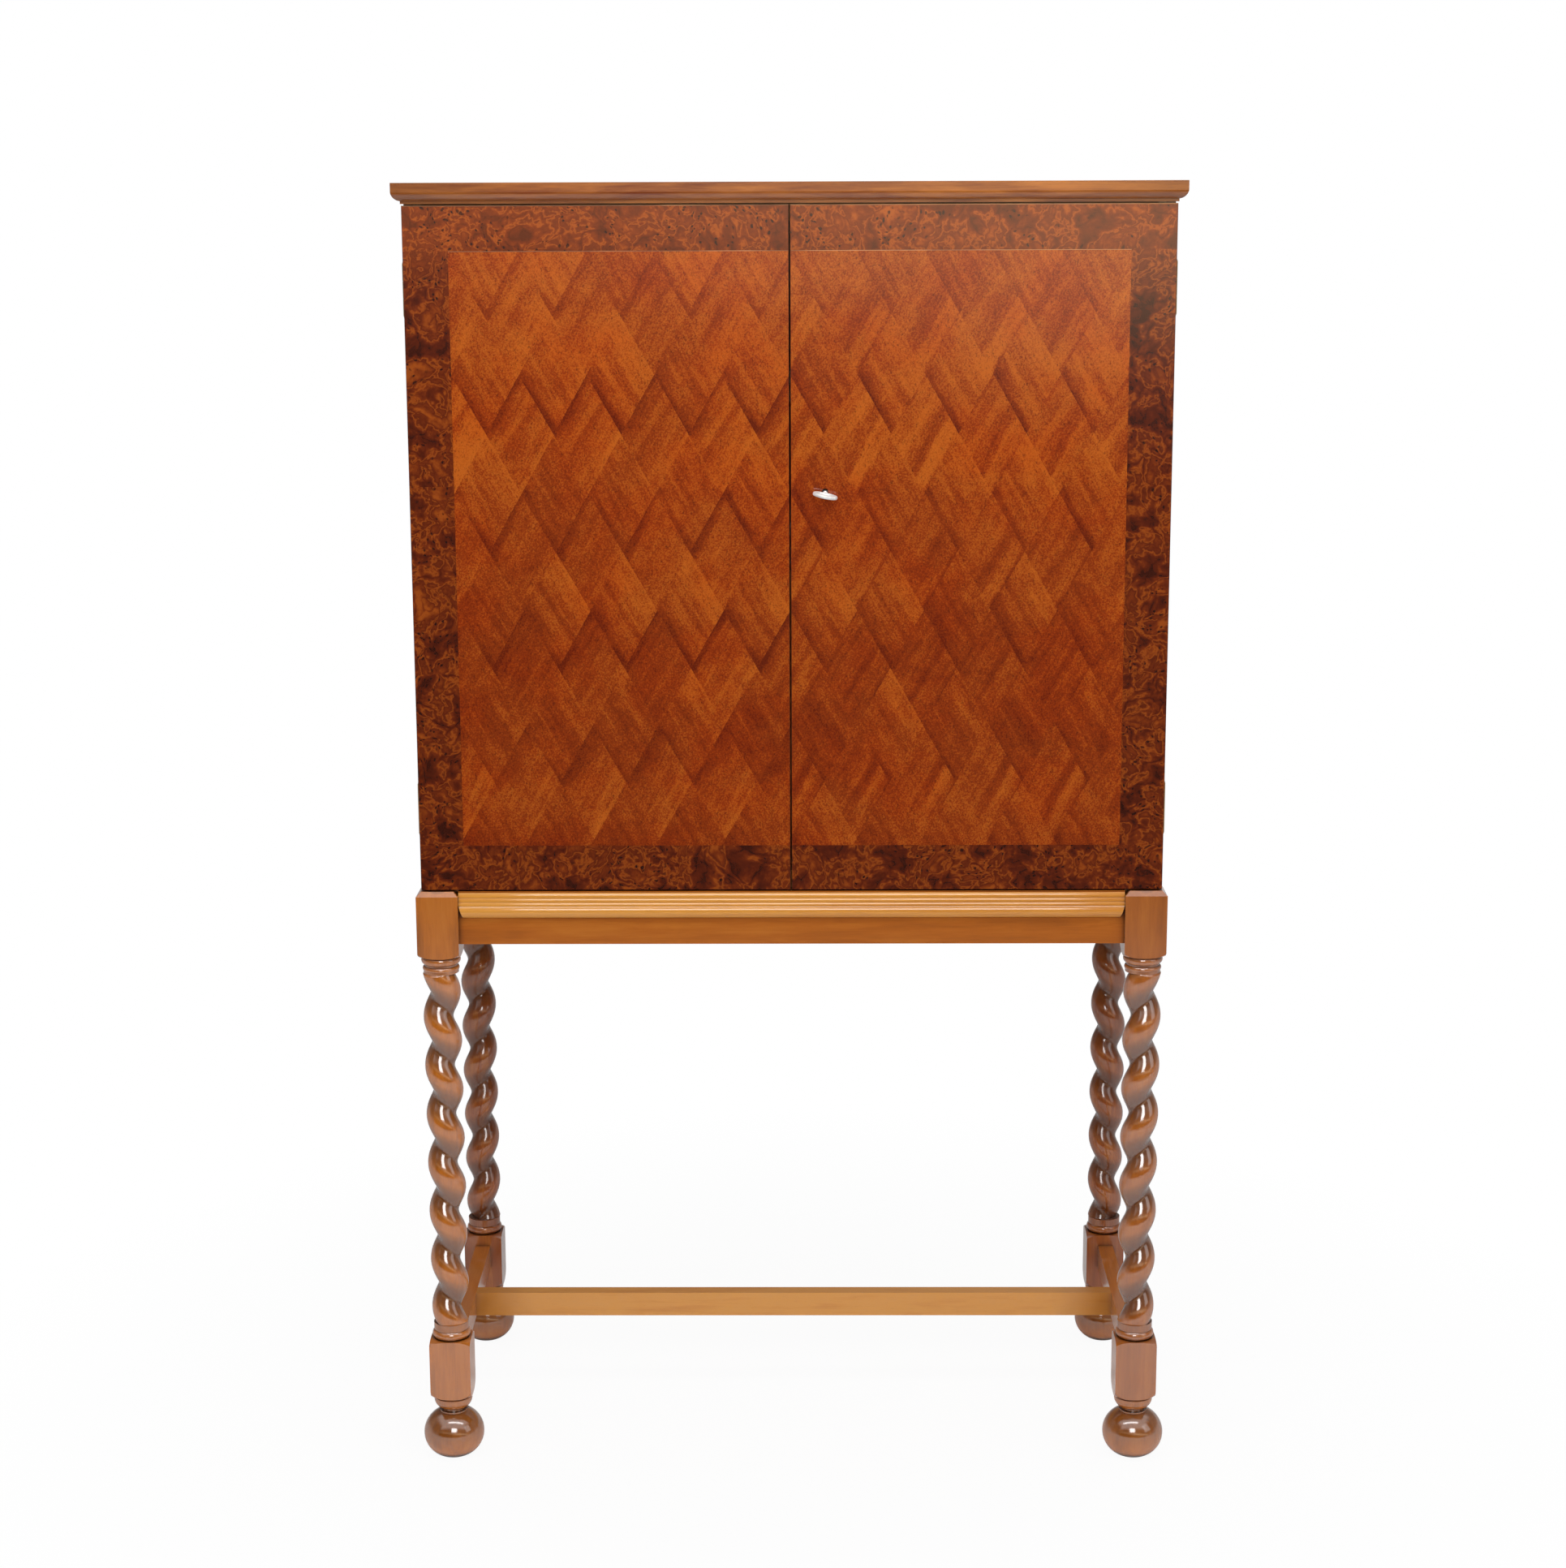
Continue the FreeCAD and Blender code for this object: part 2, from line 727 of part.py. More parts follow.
def tenoned_rail(name, half_length, thickness, low, high, lengthwise):
    """A rail along X or Y with a tenon on each end, about its own middle."""
    wide = thickness / 2
    thin = S.tenon_thickness / 2
    reach = half_length + S.tenon_length
    if lengthwise == "x":
        rail = box(f"{name}_rail", (-half_length, -wide, low), (half_length, wide, high))
        tongue = box(
            f"{name}_tenons",
            (-reach, -thin, low + S.tenon_shoulder),
            (reach, thin, high - S.tenon_shoulder),
        )
    else:
        rail = box(f"{name}_rail", (-wide, -half_length, low), (wide, half_length, high))
        tongue = box(
            f"{name}_tenons",
            (-thin, -reach, low + S.tenon_shoulder),
            (thin, reach, high - S.tenon_shoulder),
        )
    return fuse(name, [rail, tongue])


def aprons():
    """Four rails between the posts under the case."""
    set_back = S.apron_set_back + S.apron_thickness / 2
    half_x = leg_x - S.post_size / 2
    half_y = leg_reach_y - S.post_size / 2
    for face in (FRONT, BACK):
        label = f"apron_{FACE_NAMES[face]}"
        rail = tenoned_rail(label, half_x, S.apron_thickness, apron_base_z, S.stand_height, "x")
        place(rail, 0, centre_y + face * (S.stand_depth / 2 - set_back), 0)
        sub_part(rail, label)
    for side in (LEFT, RIGHT):
        label = f"apron_{SIDE_NAMES[side]}"
        rail = tenoned_rail(label, half_y, S.apron_thickness, apron_base_z, S.stand_height, "y")
        place(rail, side * (S.stand_width / 2 - set_back), centre_y, 0)
        sub_part(rail, label)


def stretchers():
    """Two rails between the blocks and a cross rail tenoned into them."""
    low = S.stretcher_base
    high = S.stretcher_base + S.stretcher_height
    half_y = leg_reach_y - S.post_size / 2
    slack = S.joint_clearance
    for side in (LEFT, RIGHT):
        label = f"stretcher_{SIDE_NAMES[side]}"
        rail = tenoned_rail(f"{label}_blank", half_y, S.stretcher_thickness, low, high, "y")
        inner = -side * S.stretcher_thickness / 2
        socket = box(
            f"{label}_socket",
            (0, -S.tenon_thickness / 2 - slack, low + S.tenon_shoulder - slack),
            (inner - side * S.overrun, S.tenon_thickness / 2 + slack, high - S.tenon_shoulder + slack),
        )
        piece = cut(label, rail, [socket])
        place(piece, side * leg_x, centre_y, 0)
        sub_part(piece, label)
    half_x = leg_x - S.stretcher_thickness / 2
    thin = S.tenon_thickness / 2
    reach = leg_x - slack
    rail = box(
        "stretcher_cross_rail",
        (-half_x, -S.stretcher_thickness / 2, low),
        (half_x, S.stretcher_thickness / 2, high),
    )
    tongue = box(
        "stretcher_cross_tenons",
        (-reach, -thin, low + S.tenon_shoulder),
        (reach, thin, high - S.tenon_shoulder),
    )
    cross = fuse("stretcher_cross", [rail, tongue])
    place(cross, 0, centre_y, 0)
    sub_part(cross, "stretcher_cross")


def moulding(label, length, x, y, turn):
    """Reeds above a half-round bead, with the bead returned at both ends."""
    bead_top = S.moulding_bead_height
    reach = S.moulding_reed_reach
    steps = [
        ((S.moulding_bead_foot, 0),),
        ((S.moulding_bead_reach, bead_top / 2), (reach - S.moulding_reed_swell, bead_top)),
    ]
    low = bead_top
    for count in range(3):
        high = low + S.moulding_reed_height if count < 2 else S.moulding_height
        outer = reach - count * S.moulding_reed_step
        inner = outer - S.moulding_reed_step - S.moulding_reed_swell
        crest = outer - (S.moulding_reed_step - S.moulding_reed_swell) / 2
        steps.append(((outer, low),))
        steps.append(((crest, (low + high) / 2), (inner, high)))
        low = high
    steps.append(((0, S.moulding_height),))
    steps.append(((0, 0),))
    strip = padded(f"{label}_strip", (0, 0), steps, length)
    base_z = S.stand_height - S.moulding_top_gap - S.moulding_height
    depth = S.moulding_bead_reach + S.overrun
    returns = []
    for end in ("left", "right"):
        # A wedge that narrows to an edge at the bead's top.
        wedge = doc.addObject("Part::Wedge", f"{label}_return_{end}")
        for name in ("Xmin", "X2min", "X2max", "Ymin", "Zmin", "Z2min"):
            bind(wedge, name, 0)
        bind(wedge, "Xmax", S.moulding_return)
        bind(wedge, "Ymax", S.moulding_bead_height)
        bind(wedge, "Zmax", depth)
        bind(wedge, "Z2max", depth)
        returns.append(wedge)
    # A wedge stands with its height along local Y and its depth along local Z.
    upright = FreeCAD.Rotation(FreeCAD.Vector(1, 0, 0), QUARTER_TURN)
    mirrored = FreeCAD.Rotation(FreeCAD.Vector(0, 0, 1), HALF_TURN).multiply(upright)
    place(returns[0], -length / 2, depth, 0, upright)
    place(returns[1], length / 2, 0, 0, mirrored)
    piece = cut(label, strip, returns)
    place(piece, x, y, base_z, FreeCAD.Rotation(FreeCAD.Vector(0, 0, 1), turn))
    sub_part(piece, label)


def mouldings():
    """Mouldings on the front and side aprons, between the posts."""
    front_length = 2 * (leg_x - S.post_size / 2 - S.moulding_end_gap)
    side_length = 2 * (leg_reach_y - S.post_size / 2 - S.moulding_end_gap)
    face = S.stand_width / 2 - S.apron_set_back
    moulding("moulding_front", front_length, 0, stand_front_y + S.apron_set_back, HALF_TURN)
    moulding("moulding_left", side_length, -face, centre_y, QUARTER_TURN)
    moulding("moulding_right", side_length, face, centre_y, -QUARTER_TURN)


def screw(at, direction, head_radius, shank_radius, length):
    """A countersunk wood screw with its head's face at a point, driven along a direction."""
    cone = Part.makeCone(head_radius, shank_radius, head_radius - shank_radius, at, direction)
    shank = Part.makeCylinder(shank_radius, length, at, direction)
    return cone.fuse(shank)


def slot(at, direction, turn_about, head_radius):
    """The driver's slot in a screw head."""
    width = S.screw_slot_width.value
    depth = S.screw_slot_depth.value
    length = 2 * head_radius + width
    block = Part.makeBox(length, width, 2 * depth, FreeCAD.Vector(-length / 2, -width / 2, -depth))
    block.Placement = FreeCAD.Placement(at, FreeCAD.Rotation(FreeCAD.Vector(0, 0, 1), direction))
    block.rotate(at, direction, turn_about)
    return block


def screw_set(label, places, direction, head_radius, shank_radius, length):
    """A group of like screws: the plain ones that cut their holes, and the slotted ones."""
    way = FreeCAD.Vector(*direction)
    plain = []
    slots = []
    for number, at in enumerate(places):
        spot = FreeCAD.Vector(*(value_of(part) for part in at))
        radii = (head_radius.value, shank_radius.value)
        plain.append(screw(spot, way, *radii, length.value))
        # Each slot stops at its own angle, as driven by hand.
        slots.append(slot(spot, way, number * number * FULL_TURN / 13, radii[0]))
    holes = doc.addObject("Part::Feature", f"{label}_plain")
    holes.Shape = Part.makeCompound(plain)
    slotted = doc.addObject("Part::Feature", f"{label}_slotted")
    slotted.Shape = Part.makeCompound([one.cut(groove) for one, groove in zip(plain, slots)])
    slotted.Placement = FreeCAD.Placement()
    sub_part(slotted, label)
    return holes


def hinge_levels():
    return {
        "upper": door_top_z - S.hinge_end_distance,
        "lower": door_base_z + S.hinge_end_distance,
    }


def hinge_screw_places(side, face_y):
    """Three screws to a leaf, set to and fro across it."""
    places = []
    for level in hinge_levels().values():
        for step in (-1, 0, 1):
            shift = S.leaf_width * (OUTER_SCREW_SHARE if step else MIDDLE_SCREW_SHARE)
            places.append((side * (barrel_x - shift), face_y, level + step * S.hinge_screw_spacing))
    return places


def leaf(label, side, level, plate_near_y, plate_far_y, own_knuckles, screws):
    """A hinge leaf with the knuckles of its own that it wraps round the pin."""
    low = level - S.hinge_height / 2
    high = level + S.hinge_height / 2
    bare = barrel_x - S.knuckle_radius - S.knuckle_gap
    plate = box(
        f"{label}_plate",
        (side * (barrel_x - S.leaf_width), plate_near_y, low),
        (side * bare, plate_far_y, high),
    )
    parts = [plate]
    bores = []
    for number in own_knuckles:
        start = low + number * S.hinge_height / 3
        end = start + S.hinge_height / 3
        start = start + (S.knuckle_gap / 2 if number else 0)
        end = end - (S.knuckle_gap / 2 if number < 2 else 0)
        parts.append(
            box(
                f"{label}_bridge_{number}",
                (side * bare, plate_near_y, start),
                (side * barrel_x, plate_far_y, end),
            )
        )
        centre = (side * barrel_x, barrel_y, start)
        parts.append(cylinder(f"{label}_knuckle_{number}", centre, S.knuckle_radius, end - start))
        below = (side * barrel_x, barrel_y, start - S.overrun)
        bore = S.hinge_pin_radius + S.running_clearance
        bores.append(
            cylinder(f"{label}_bore_{number}", below, bore, end - start + 2 * S.overrun)
        )
    sub_part(cut(label, fuse(f"{label}_blank", parts), bores + [screws]), label)


def leaf_recess(name, side, level, near_y, far_y):
    """The shallow cut that takes a leaf, and the notch that its barrel turns in."""
    slack = S.leaf_clearance
    half = S.hinge_height / 2 + slack
    recess = box(
        f"{name}_recess",
        (side * (barrel_x - S.leaf_width - slack), near_y, level - half),
        (side * (body_x + S.overrun), far_y, level + half),
    )
    notch_half = half + S.hinge_pin_tip + slack
    notch = cylinder(
        f"{name}_notch",
        (side * barrel_x, barrel_y, level - notch_half),
        S.knuckle_radius + S.barrel_clearance,
        2 * notch_half,
    )
    return [recess, notch]


def hinge_pins(side):
    """The two pins of one door's hinges."""
    label = f"hinge_pins_{SIDE_NAMES[side]}"
    pins = []
    for name, level in hinge_levels().items():
        low = level - S.hinge_height / 2
        shaft = cylinder(
            f"{label}_{name}_shaft",
            (side * barrel_x, barrel_y, low - S.hinge_pin_tip),
            S.hinge_pin_radius,
            S.hinge_height + 2 * S.hinge_pin_tip,
        )
        tips = []
        for end, start in (
            ("top", level + S.hinge_height / 2 + S.running_clearance),
            ("foot", low - S.hinge_pin_tip - S.running_clearance),
        ):
            tips.append(
                cylinder(
                    f"{label}_{name}_{end}",
                    (side * barrel_x, barrel_y, start),
                    S.knuckle_radius - S.leaf_gap,
                    S.hinge_pin_tip,
                )
            )
        pins.append(fuse(f"{label}_{name}", [shaft] + tips))
    group = doc.addObject("Part::Compound", label)
    group.Links = pins
    sub_part(group, label)


def case_leaf_y():
    near = barrel_y + S.leaf_gap / 2
    return near, near + S.leaf_thickness


def door_leaf_y():
    near = barrel_y - S.leaf_gap / 2
    return near, near - S.leaf_thickness


def hinges(case_screws, door_screws):
    """Butt hinges, two to a door, with their leaves let into the door and the case."""
    for side in (LEFT, RIGHT):
        for name, level in hinge_levels().items():
            label = f"hinge_{SIDE_NAMES[side]}_{name}"
            leaf(f"{label}_case_leaf", side, level, *case_leaf_y(), (0, 2), case_screws)
            leaf(f"{label}_door_leaf", side, level, *door_leaf_y(), (1,), door_screws[side])
        hinge_pins(side)


def shelf_pin_places():
    """Start and direction of each pin, under the glass shelf and under the low shelf."""
    glass_z = S.stand_height + S.glass_shelf_height - S.pin_radius
    low_z = S.stand_height + S.low_shelf_height - S.pin_radius
    front = shelf_front_y + S.pin_inset
    back = inner_back_y - S.pin_inset
    places = []
    for y in (front, back):
        places.append((-inner_x, y, glass_z, LEFT))
        places.append((inner_x, y, glass_z, RIGHT))
        places.append((S.partition_thickness / 2, y, low_z, LEFT))
        places.append((inner_x, y, low_z, RIGHT))
    return places


def shelf_pins():
    """Brass pins that stand out of the case sides and the partition."""
    pins = []
    for number, (x, y, z, side) in enumerate(shelf_pin_places()):
        start = x - S.pin_reach if side == RIGHT else x - S.pin_depth
        pins.append(
            cylinder(
                f"shelf_pin_{number}",
                (start, y, z),
                S.pin_radius,
                S.pin_reach + S.pin_depth,
                ALONG_X,
            )
        )
    group = doc.addObject("Part::Compound", "shelf_pins")
    group.Links = pins
    return sub_part(group, "shelf_pins")


def case_side(side, screws, pins):
    """A case side, rebated for the back and cut for its hinge leaves and shelf pins."""
    label = f"case_side_{SIDE_NAMES[side]}"
    board = box(
        f"{label}_board",
        (side * inner_x, case_front_y, S.stand_height),
        (side * body_x, case_back_y, case_top_z),
    )
    tools = [
        box(
            f"{label}_rebate",
            (side * (inner_x - S.overrun), inner_back_y, S.stand_height - S.overrun),
            (side * (inner_x + S.back_rebate), case_back_y + S.overrun, case_top_z + S.overrun),
        ),
        screws,
        pins,
    ]
    near, far = case_leaf_y()
    for name, level in hinge_levels().items():
        tools += leaf_recess(f"{label}_{name}", side, level, near, far)
    sub_part(cut(label, board, tools), label)


def case_decks(frame_holes):
    """Top and bottom boards of the case, each with a socket for a door bolt."""
    hole = S.rod_radius + S.keeper_hole_clearance
    half = S.keeper_size / 2
    for label, low, inner, way in (
        ("case_bottom", S.stand_height, floor_z, -1),
        ("case_top", ceiling_z, ceiling_z, 1),
    ):
        board = box(
            f"{label}_board",
            (-inner_x, case_front_y, low),
            (inner_x, inner_back_y, low + S.deck_thickness),
        )
        seat_end = inner + way * S.keeper_thickness
        seat = box(
            f"{label}_seat",
            (rod_x - half, rod_y - half, inner - way * S.overrun),
            (rod_x + half, rod_y + half, seat_end),
        )
        socket = box(
            f"{label}_socket",
            (rod_x - hole, rod_y - hole, inner - way * S.overrun),
            (rod_x + hole, rod_y + hole, inner + way * (S.rod_throw + S.overrun)),
        )
        tools = [seat, socket, frame_holes] if way < 0 else [seat, socket]
        sub_part(cut(label, board, tools), label)
        plate_label = "keeper_top" if way > 0 else "keeper_bottom"
        plate = box(
            f"{plate_label}_plate",
            (rod_x - half, rod_y - half, inner),
            (rod_x + half, rod_y + half, seat_end),
        )
        plate_hole = box(
            f"{plate_label}_hole",
            (rod_x - hole, rod_y - hole, inner - way * S.overrun),
            (rod_x + hole, rod_y + hole, inner + way * S.overrun),
        )
        sub_part(cut(plate_label, plate, [plate_hole]), plate_label)


def case_inside(pins):
    """Back, fixed shelf, partition, low shelf, glass shelf and mirror."""
    back_x = inner_x + S.back_rebate
    sub_part(
        box("back_panel", (-back_x, inner_back_y, S.stand_height), (back_x, case_back_y, case_top_z)),
        "back_panel",
    )
    shelf_top = fixed_shelf_z + S.shelf_thickness
    sub_part(
        box("fixed_shelf", (-inner_x, shelf_front_y, fixed_shelf_z), (inner_x, inner_back_y, shelf_top)),
        "fixed_shelf",
    )
    half = S.partition_thickness / 2
    wall = box("partition_board", (-half, shelf_front_y, floor_z), (half, inner_back_y, fixed_shelf_z))
    sub_part(cut("partition", wall, [pins]), "partition")
    low = S.stand_height + S.low_shelf_height
    gap = S.shelf_clearance
    sub_part(
        box(
            "low_shelf",
            (half + gap, shelf_front_y, low),
            (inner_x - gap, inner_back_y - gap, low + S.shelf_thickness),
        ),
        "low_shelf",
    )
    pane = S.stand_height + S.glass_shelf_height
    mirror_front = inner_back_y - S.mirror_thickness
    sub_part(
        box(
            "glass_shelf",
            (-inner_x + gap, shelf_front_y, pane),
            (inner_x - gap, mirror_front - gap, pane + S.glass_thickness),
        ),
        "glass_shelf",
    )
    sub_part(
        box(
            "mirror",
            (-inner_x + gap, mirror_front, shelf_top),
            (inner_x - gap, inner_back_y, ceiling_z - gap),
        ),
        "mirror",
    )


def top_board():
    """The top, with a moulded edge on its front and both ends."""
    outer = body_x + S.top_overhang
    board = box(
        "top_blank",
        (-outer, door_front_y - S.top_overhang, case_top_z),
        (outer, case_back_y, S.total_height),
    )
    over = S.overrun
    face = S.top_fillet_reach
    arc_base = over + S.top_fillet_height
    arc_top = over + S.top_thickness - S.top_edge_height
    arc_in = face + S.top_step
    middle = (
        S.top_overhang - (S.top_overhang - arc_in) * QUARTER_NEAR_SHARE,
        arc_top - (arc_top - arc_base) * QUARTER_FAR_SHARE,
    )
    start = (face, 0)
    steps = [
        ((face, arc_base),),
        ((arc_in, arc_base),),
        (middle, (S.top_overhang, arc_top)),
        ((S.top_overhang + over, arc_top),),
        ((S.top_overhang + over, 0),),
        ((face, 0),),
    ]
    base_z = case_top_z - over
    front = padded("top_front_cutter", start, steps, 2 * (outer + over))
    place(front, 0, door_front_y, base_z, FreeCAD.Rotation(FreeCAD.Vector(0, 0, 1), HALF_TURN))
    tools = [front]
    for side in (LEFT, RIGHT):
        cutter = padded(f"top_{SIDE_NAMES[side]}_cutter", start, steps, 2 * S.stand_depth)
        turn = FreeCAD.Rotation(FreeCAD.Vector(0, 0, 1), -side * QUARTER_TURN)
        place(cutter, side * body_x, centre_y, base_z, turn)
        tools.append(cutter)
    sub_part(cut("top_board", board, tools), "top_board")


def veneer_sheet(name, side):
    """The sheet of burl and parquetry on a door's face, with its edges eased."""
    body = doc.addObject("PartDesign::Body", name)
    sketch = body_sketch(body, f"{name}_end", "YZ_Plane")
    start, steps = rectangle((0, 0), (S.veneer_thickness, door_top_z - door_base_z))
    draw_outline(sketch, start, steps)
    pad = body.newObject("PartDesign::Pad", f"{name}_pad")
    pad.Profile = sketch
    bind(pad, "Length", body_x - door_edge_x)
    body.Tip = pad
    front = S.veneer_thickness.value / 2
    chamfer_where(body, f"{name}_eased", S.door_edge_chamfer, lambda middle: middle.y < front)
    left = door_edge_x if side == RIGHT else -body_x
    return place(body, left, door_front_y, door_base_z)


def keyhole(name, start_y, end_y):
    """A round hole with a slot below it, through a wall."""
    length = end_y - start_y
    hole = cylinder(f"{name}_round", (key_x, start_y, key_z), S.keyhole_radius, length, ALONG_Y)
    half = S.keyhole_slot_width / 2
    slot_cut = box(
        f"{name}_slot",
        (key_x - half, start_y, key_z - S.keyhole_slot_length),
        (key_x + half, end_y, key_z),
    )
    return [hole, slot_cut]


def bolt_line_z():
    """Underside of the lock's bolt, just above the key bit's swing."""
    return key_z + S.key_bit_radius + S.bolt_lift


def bolt_y():
    middle = (lock_front_y + door_back_y) / 2
    return middle - S.bolt_thickness / 2, middle + S.bolt_thickness / 2


def lock_box(name, slack):
    """The outside of the lock case, grown by a slack."""
    return box(
        name,
        (door_edge_x + S.lock_face_thickness - slack, lock_front_y - slack, key_z - S.lock_drop - slack),
        (door_edge_x + S.lock_width + slack, door_back_y + slack, key_z + S.lock_rise + slack),
    )


def lock_face(name, slack):
    """The lock's face plate on the door's edge, grown by a slack."""
    return box(
        name,
        (door_edge_x, lock_front_y - slack, key_z - S.lock_drop - S.lock_face_margin - slack),
        (
            door_edge_x + S.lock_face_thickness,
            door_back_y + slack,
            key_z + S.lock_rise + S.lock_face_margin + slack,
        ),
    )


def lock_case():
    """A hollow lock case with its face plate, a keyhole and a mouth for the bolt."""
    wall = S.lock_wall
    outside = fuse("lock_outside", [lock_box("lock_body", 0), lock_face("lock_face", 0)])
    hollow = box(
        "lock_hollow",
        (door_edge_x + S.lock_face_thickness, lock_front_y + wall, key_z - S.lock_drop + wall),
        (door_edge_x + S.lock_width - wall, door_back_y - wall, key_z + S.lock_rise - wall),
    )
    near, far = bolt_y()
    gap = S.bolt_clearance
    mouth = box(
        "lock_mouth",
        (door_edge_x - S.overrun, near - gap, bolt_line_z() - gap),
        (door_edge_x + S.lock_face_thickness + S.overrun, far + gap, bolt_line_z() + S.bolt_height + gap),
    )
    hole = keyhole("lock_keyhole", lock_front_y - S.overrun, lock_front_y + wall + S.overrun / 3)
    sub_part(cut("lock_case", outside, [hollow, mouth] + hole), "lock_case")


def lock_bolt():
    """The bolt, with two lugs below it that the key's bit passes between."""
    near, far = bolt_y()
    line = bolt_line_z()
    tail = key_x + S.bolt_notch_right + S.bolt_lug_width
    bar = box("lock_bolt_bar", (door_edge_x + S.bolt_setback, near, line), (tail, far, line + S.bolt_height))
    left_end = key_x - S.bolt_notch_left
    left_lug = box(
        "lock_bolt_left_lug",
        (left_end - S.bolt_lug_width, near, line - S.bolt_lug_height),
        (left_end, far, line),
    )
    right_lug = box(
        "lock_bolt_right_lug",
        (key_x + S.bolt_notch_right, near, line - S.bolt_lug_height),
        (tail, far, line),
    )
    sub_part(fuse("lock_bolt", [bar, left_lug, right_lug]), "lock_bolt")


def strike_plate():
    """The plate on the left door's edge that the bolt enters."""
    near, far = bolt_y()
    middle_y = (near + far) / 2
    middle_z = bolt_line_z() + S.bolt_height / 2
    half = S.strike_height / 2
    plate = box(
        "strike_blank",
        (-door_edge_x, middle_y - S.strike_width / 2, middle_z - half),
        (-door_edge_x - S.strike_thickness, middle_y + S.strike_width / 2, middle_z + half),
    )
    sub_part(cut("strike_plate", plate, [strike_mouth("strike_mouth")]), "strike_plate")


def strike_mouth(name):
    near, far = bolt_y()
    gap = S.strike_hole_margin
    line = bolt_line_z()
    return box(
        name,
        (-door_edge_x + S.overrun, near - gap, line - gap),
        (-door_edge_x - S.strike_depth, far + gap, line + S.bolt_height + gap),
    )


def strike_seat():
    near, far = bolt_y()
    middle_y = (near + far) / 2
    middle_z = bolt_line_z() + S.bolt_height / 2
    half = S.strike_height / 2
    return box(
        "strike_seat",
        (-door_edge_x + S.overrun, middle_y - S.strike_width / 2, middle_z - half),
        (-door_edge_x - S.strike_thickness, middle_y + S.strike_width / 2, middle_z + half),
    )


def doors(door_screws):
    """The two veneered doors, cut for their hinges, lock and strike."""
    near, far = door_leaf_y()
    for side in (LEFT, RIGHT):
        label = f"door_{SIDE_NAMES[side]}"
        tools = [door_screws[side]]
        for name, level in hinge_levels().items():
            tools += leaf_recess(f"{label}_{name}", side, level, far, near + S.overrun)
        sheet = veneer_sheet(f"{label}_sheet", side)
        core_front = door_front_y + S.veneer_thickness
        if side == RIGHT:
            slack = S.lock_pocket_clearance
            tools += [lock_box("lock_pocket", slack), lock_face("lock_face_seat", slack)]
            holes = keyhole("door_keyhole", door_front_y - S.overrun, lock_front_y + S.overrun)
            tools += holes
            sheet = cut(f"{label}_veneer", sheet, holes)
        else:
            tools += [strike_mouth("strike_pocket"), strike_seat()]
        sub_part(sheet, f"{label}_veneer")
        core = box(
            f"{label}_core",
            (side * door_edge_x, core_front, door_base_z),
            (side * body_x, door_back_y, door_top_z),
        )
        sub_part(cut(label, core, tools), label)


def key():
    """A flat key: bow, collar, shaft and bit, hanging a little in its hole."""
    outer = doc.addObject("Part::Ellipse", "key_bow_rim")
    pivot = (door_front_y + door_back_y) / 2 - door_front_y
    reach = S.key_projection + pivot
    bow_middle = reach - S.key_bow_depth / 2
    bind(outer, "MajorRadius", S.key_bow_width / 2)
    bind(outer, "MinorRadius", S.key_bow_depth / 2)
    inner = doc.addObject("Part::Ellipse", "key_bow_eye")
    bind(inner, "MajorRadius", S.key_bow_width / 2 - S.key_bow_rim)
    bind(inner, "MinorRadius", S.key_bow_depth / 2 - S.key_bow_rim)
    plates = []
    for name, rim in (("key_bow_plate", outer), ("key_eye_plate", inner)):
        place(rim, 0, -bow_middle, -S.key_bow_thickness / 2)
        plate = doc.addObject("Part::Extrusion", name)
        plate.Base = rim
        plate.Solid = True
        plate.DirMode = "Custom"
        plate.Dir = FreeCAD.Vector(0, 0, 1)
        bind(plate, "LengthFwd", S.key_bow_thickness)
        plates.append(plate)
    bow = cut("key_bow", plates[0], [plates[1]])
    shaft_front = -(reach - S.key_bow_depth + S.key_bow_rim / 2)
    shaft_end = S.door_thickness / 2 - S.lock_wall - 2 * S.bolt_clearance
    shaft = cylinder(
        "key_shaft", (0, shaft_front, 0), S.key_shaft_radius, shaft_end - shaft_front, ALONG_Y
    )
    collar = cylinder(
        "key_collar",
        (0, -(reach - S.key_bow_depth), 0),
        S.key_collar_radius,
        S.key_collar_length,
        ALONG_Y,
    )
    bit_middle = (lock_front_y + door_back_y) / 2 - (door_front_y + door_back_y) / 2
    bit = box(
        "key_bit",
        (0, bit_middle - S.key_bit_length / 2, -S.key_bit_thickness / 2),
        (S.key_bit_radius, bit_middle + S.key_bit_length / 2, S.key_bit_thickness / 2),
    )
    piece = fuse("key", [bow, shaft, collar, bit])
    droop = FreeCAD.Rotation(FreeCAD.Vector(1, 0, 0), S.key_droop_angle.value)
    tilt = FreeCAD.Rotation(FreeCAD.Vector(0, 1, 0), S.key_tilt_angle.value)
    place(piece, key_x, (door_front_y + door_back_y) / 2, key_z, droop.multiply(tilt))
    sub_part(piece, "key")


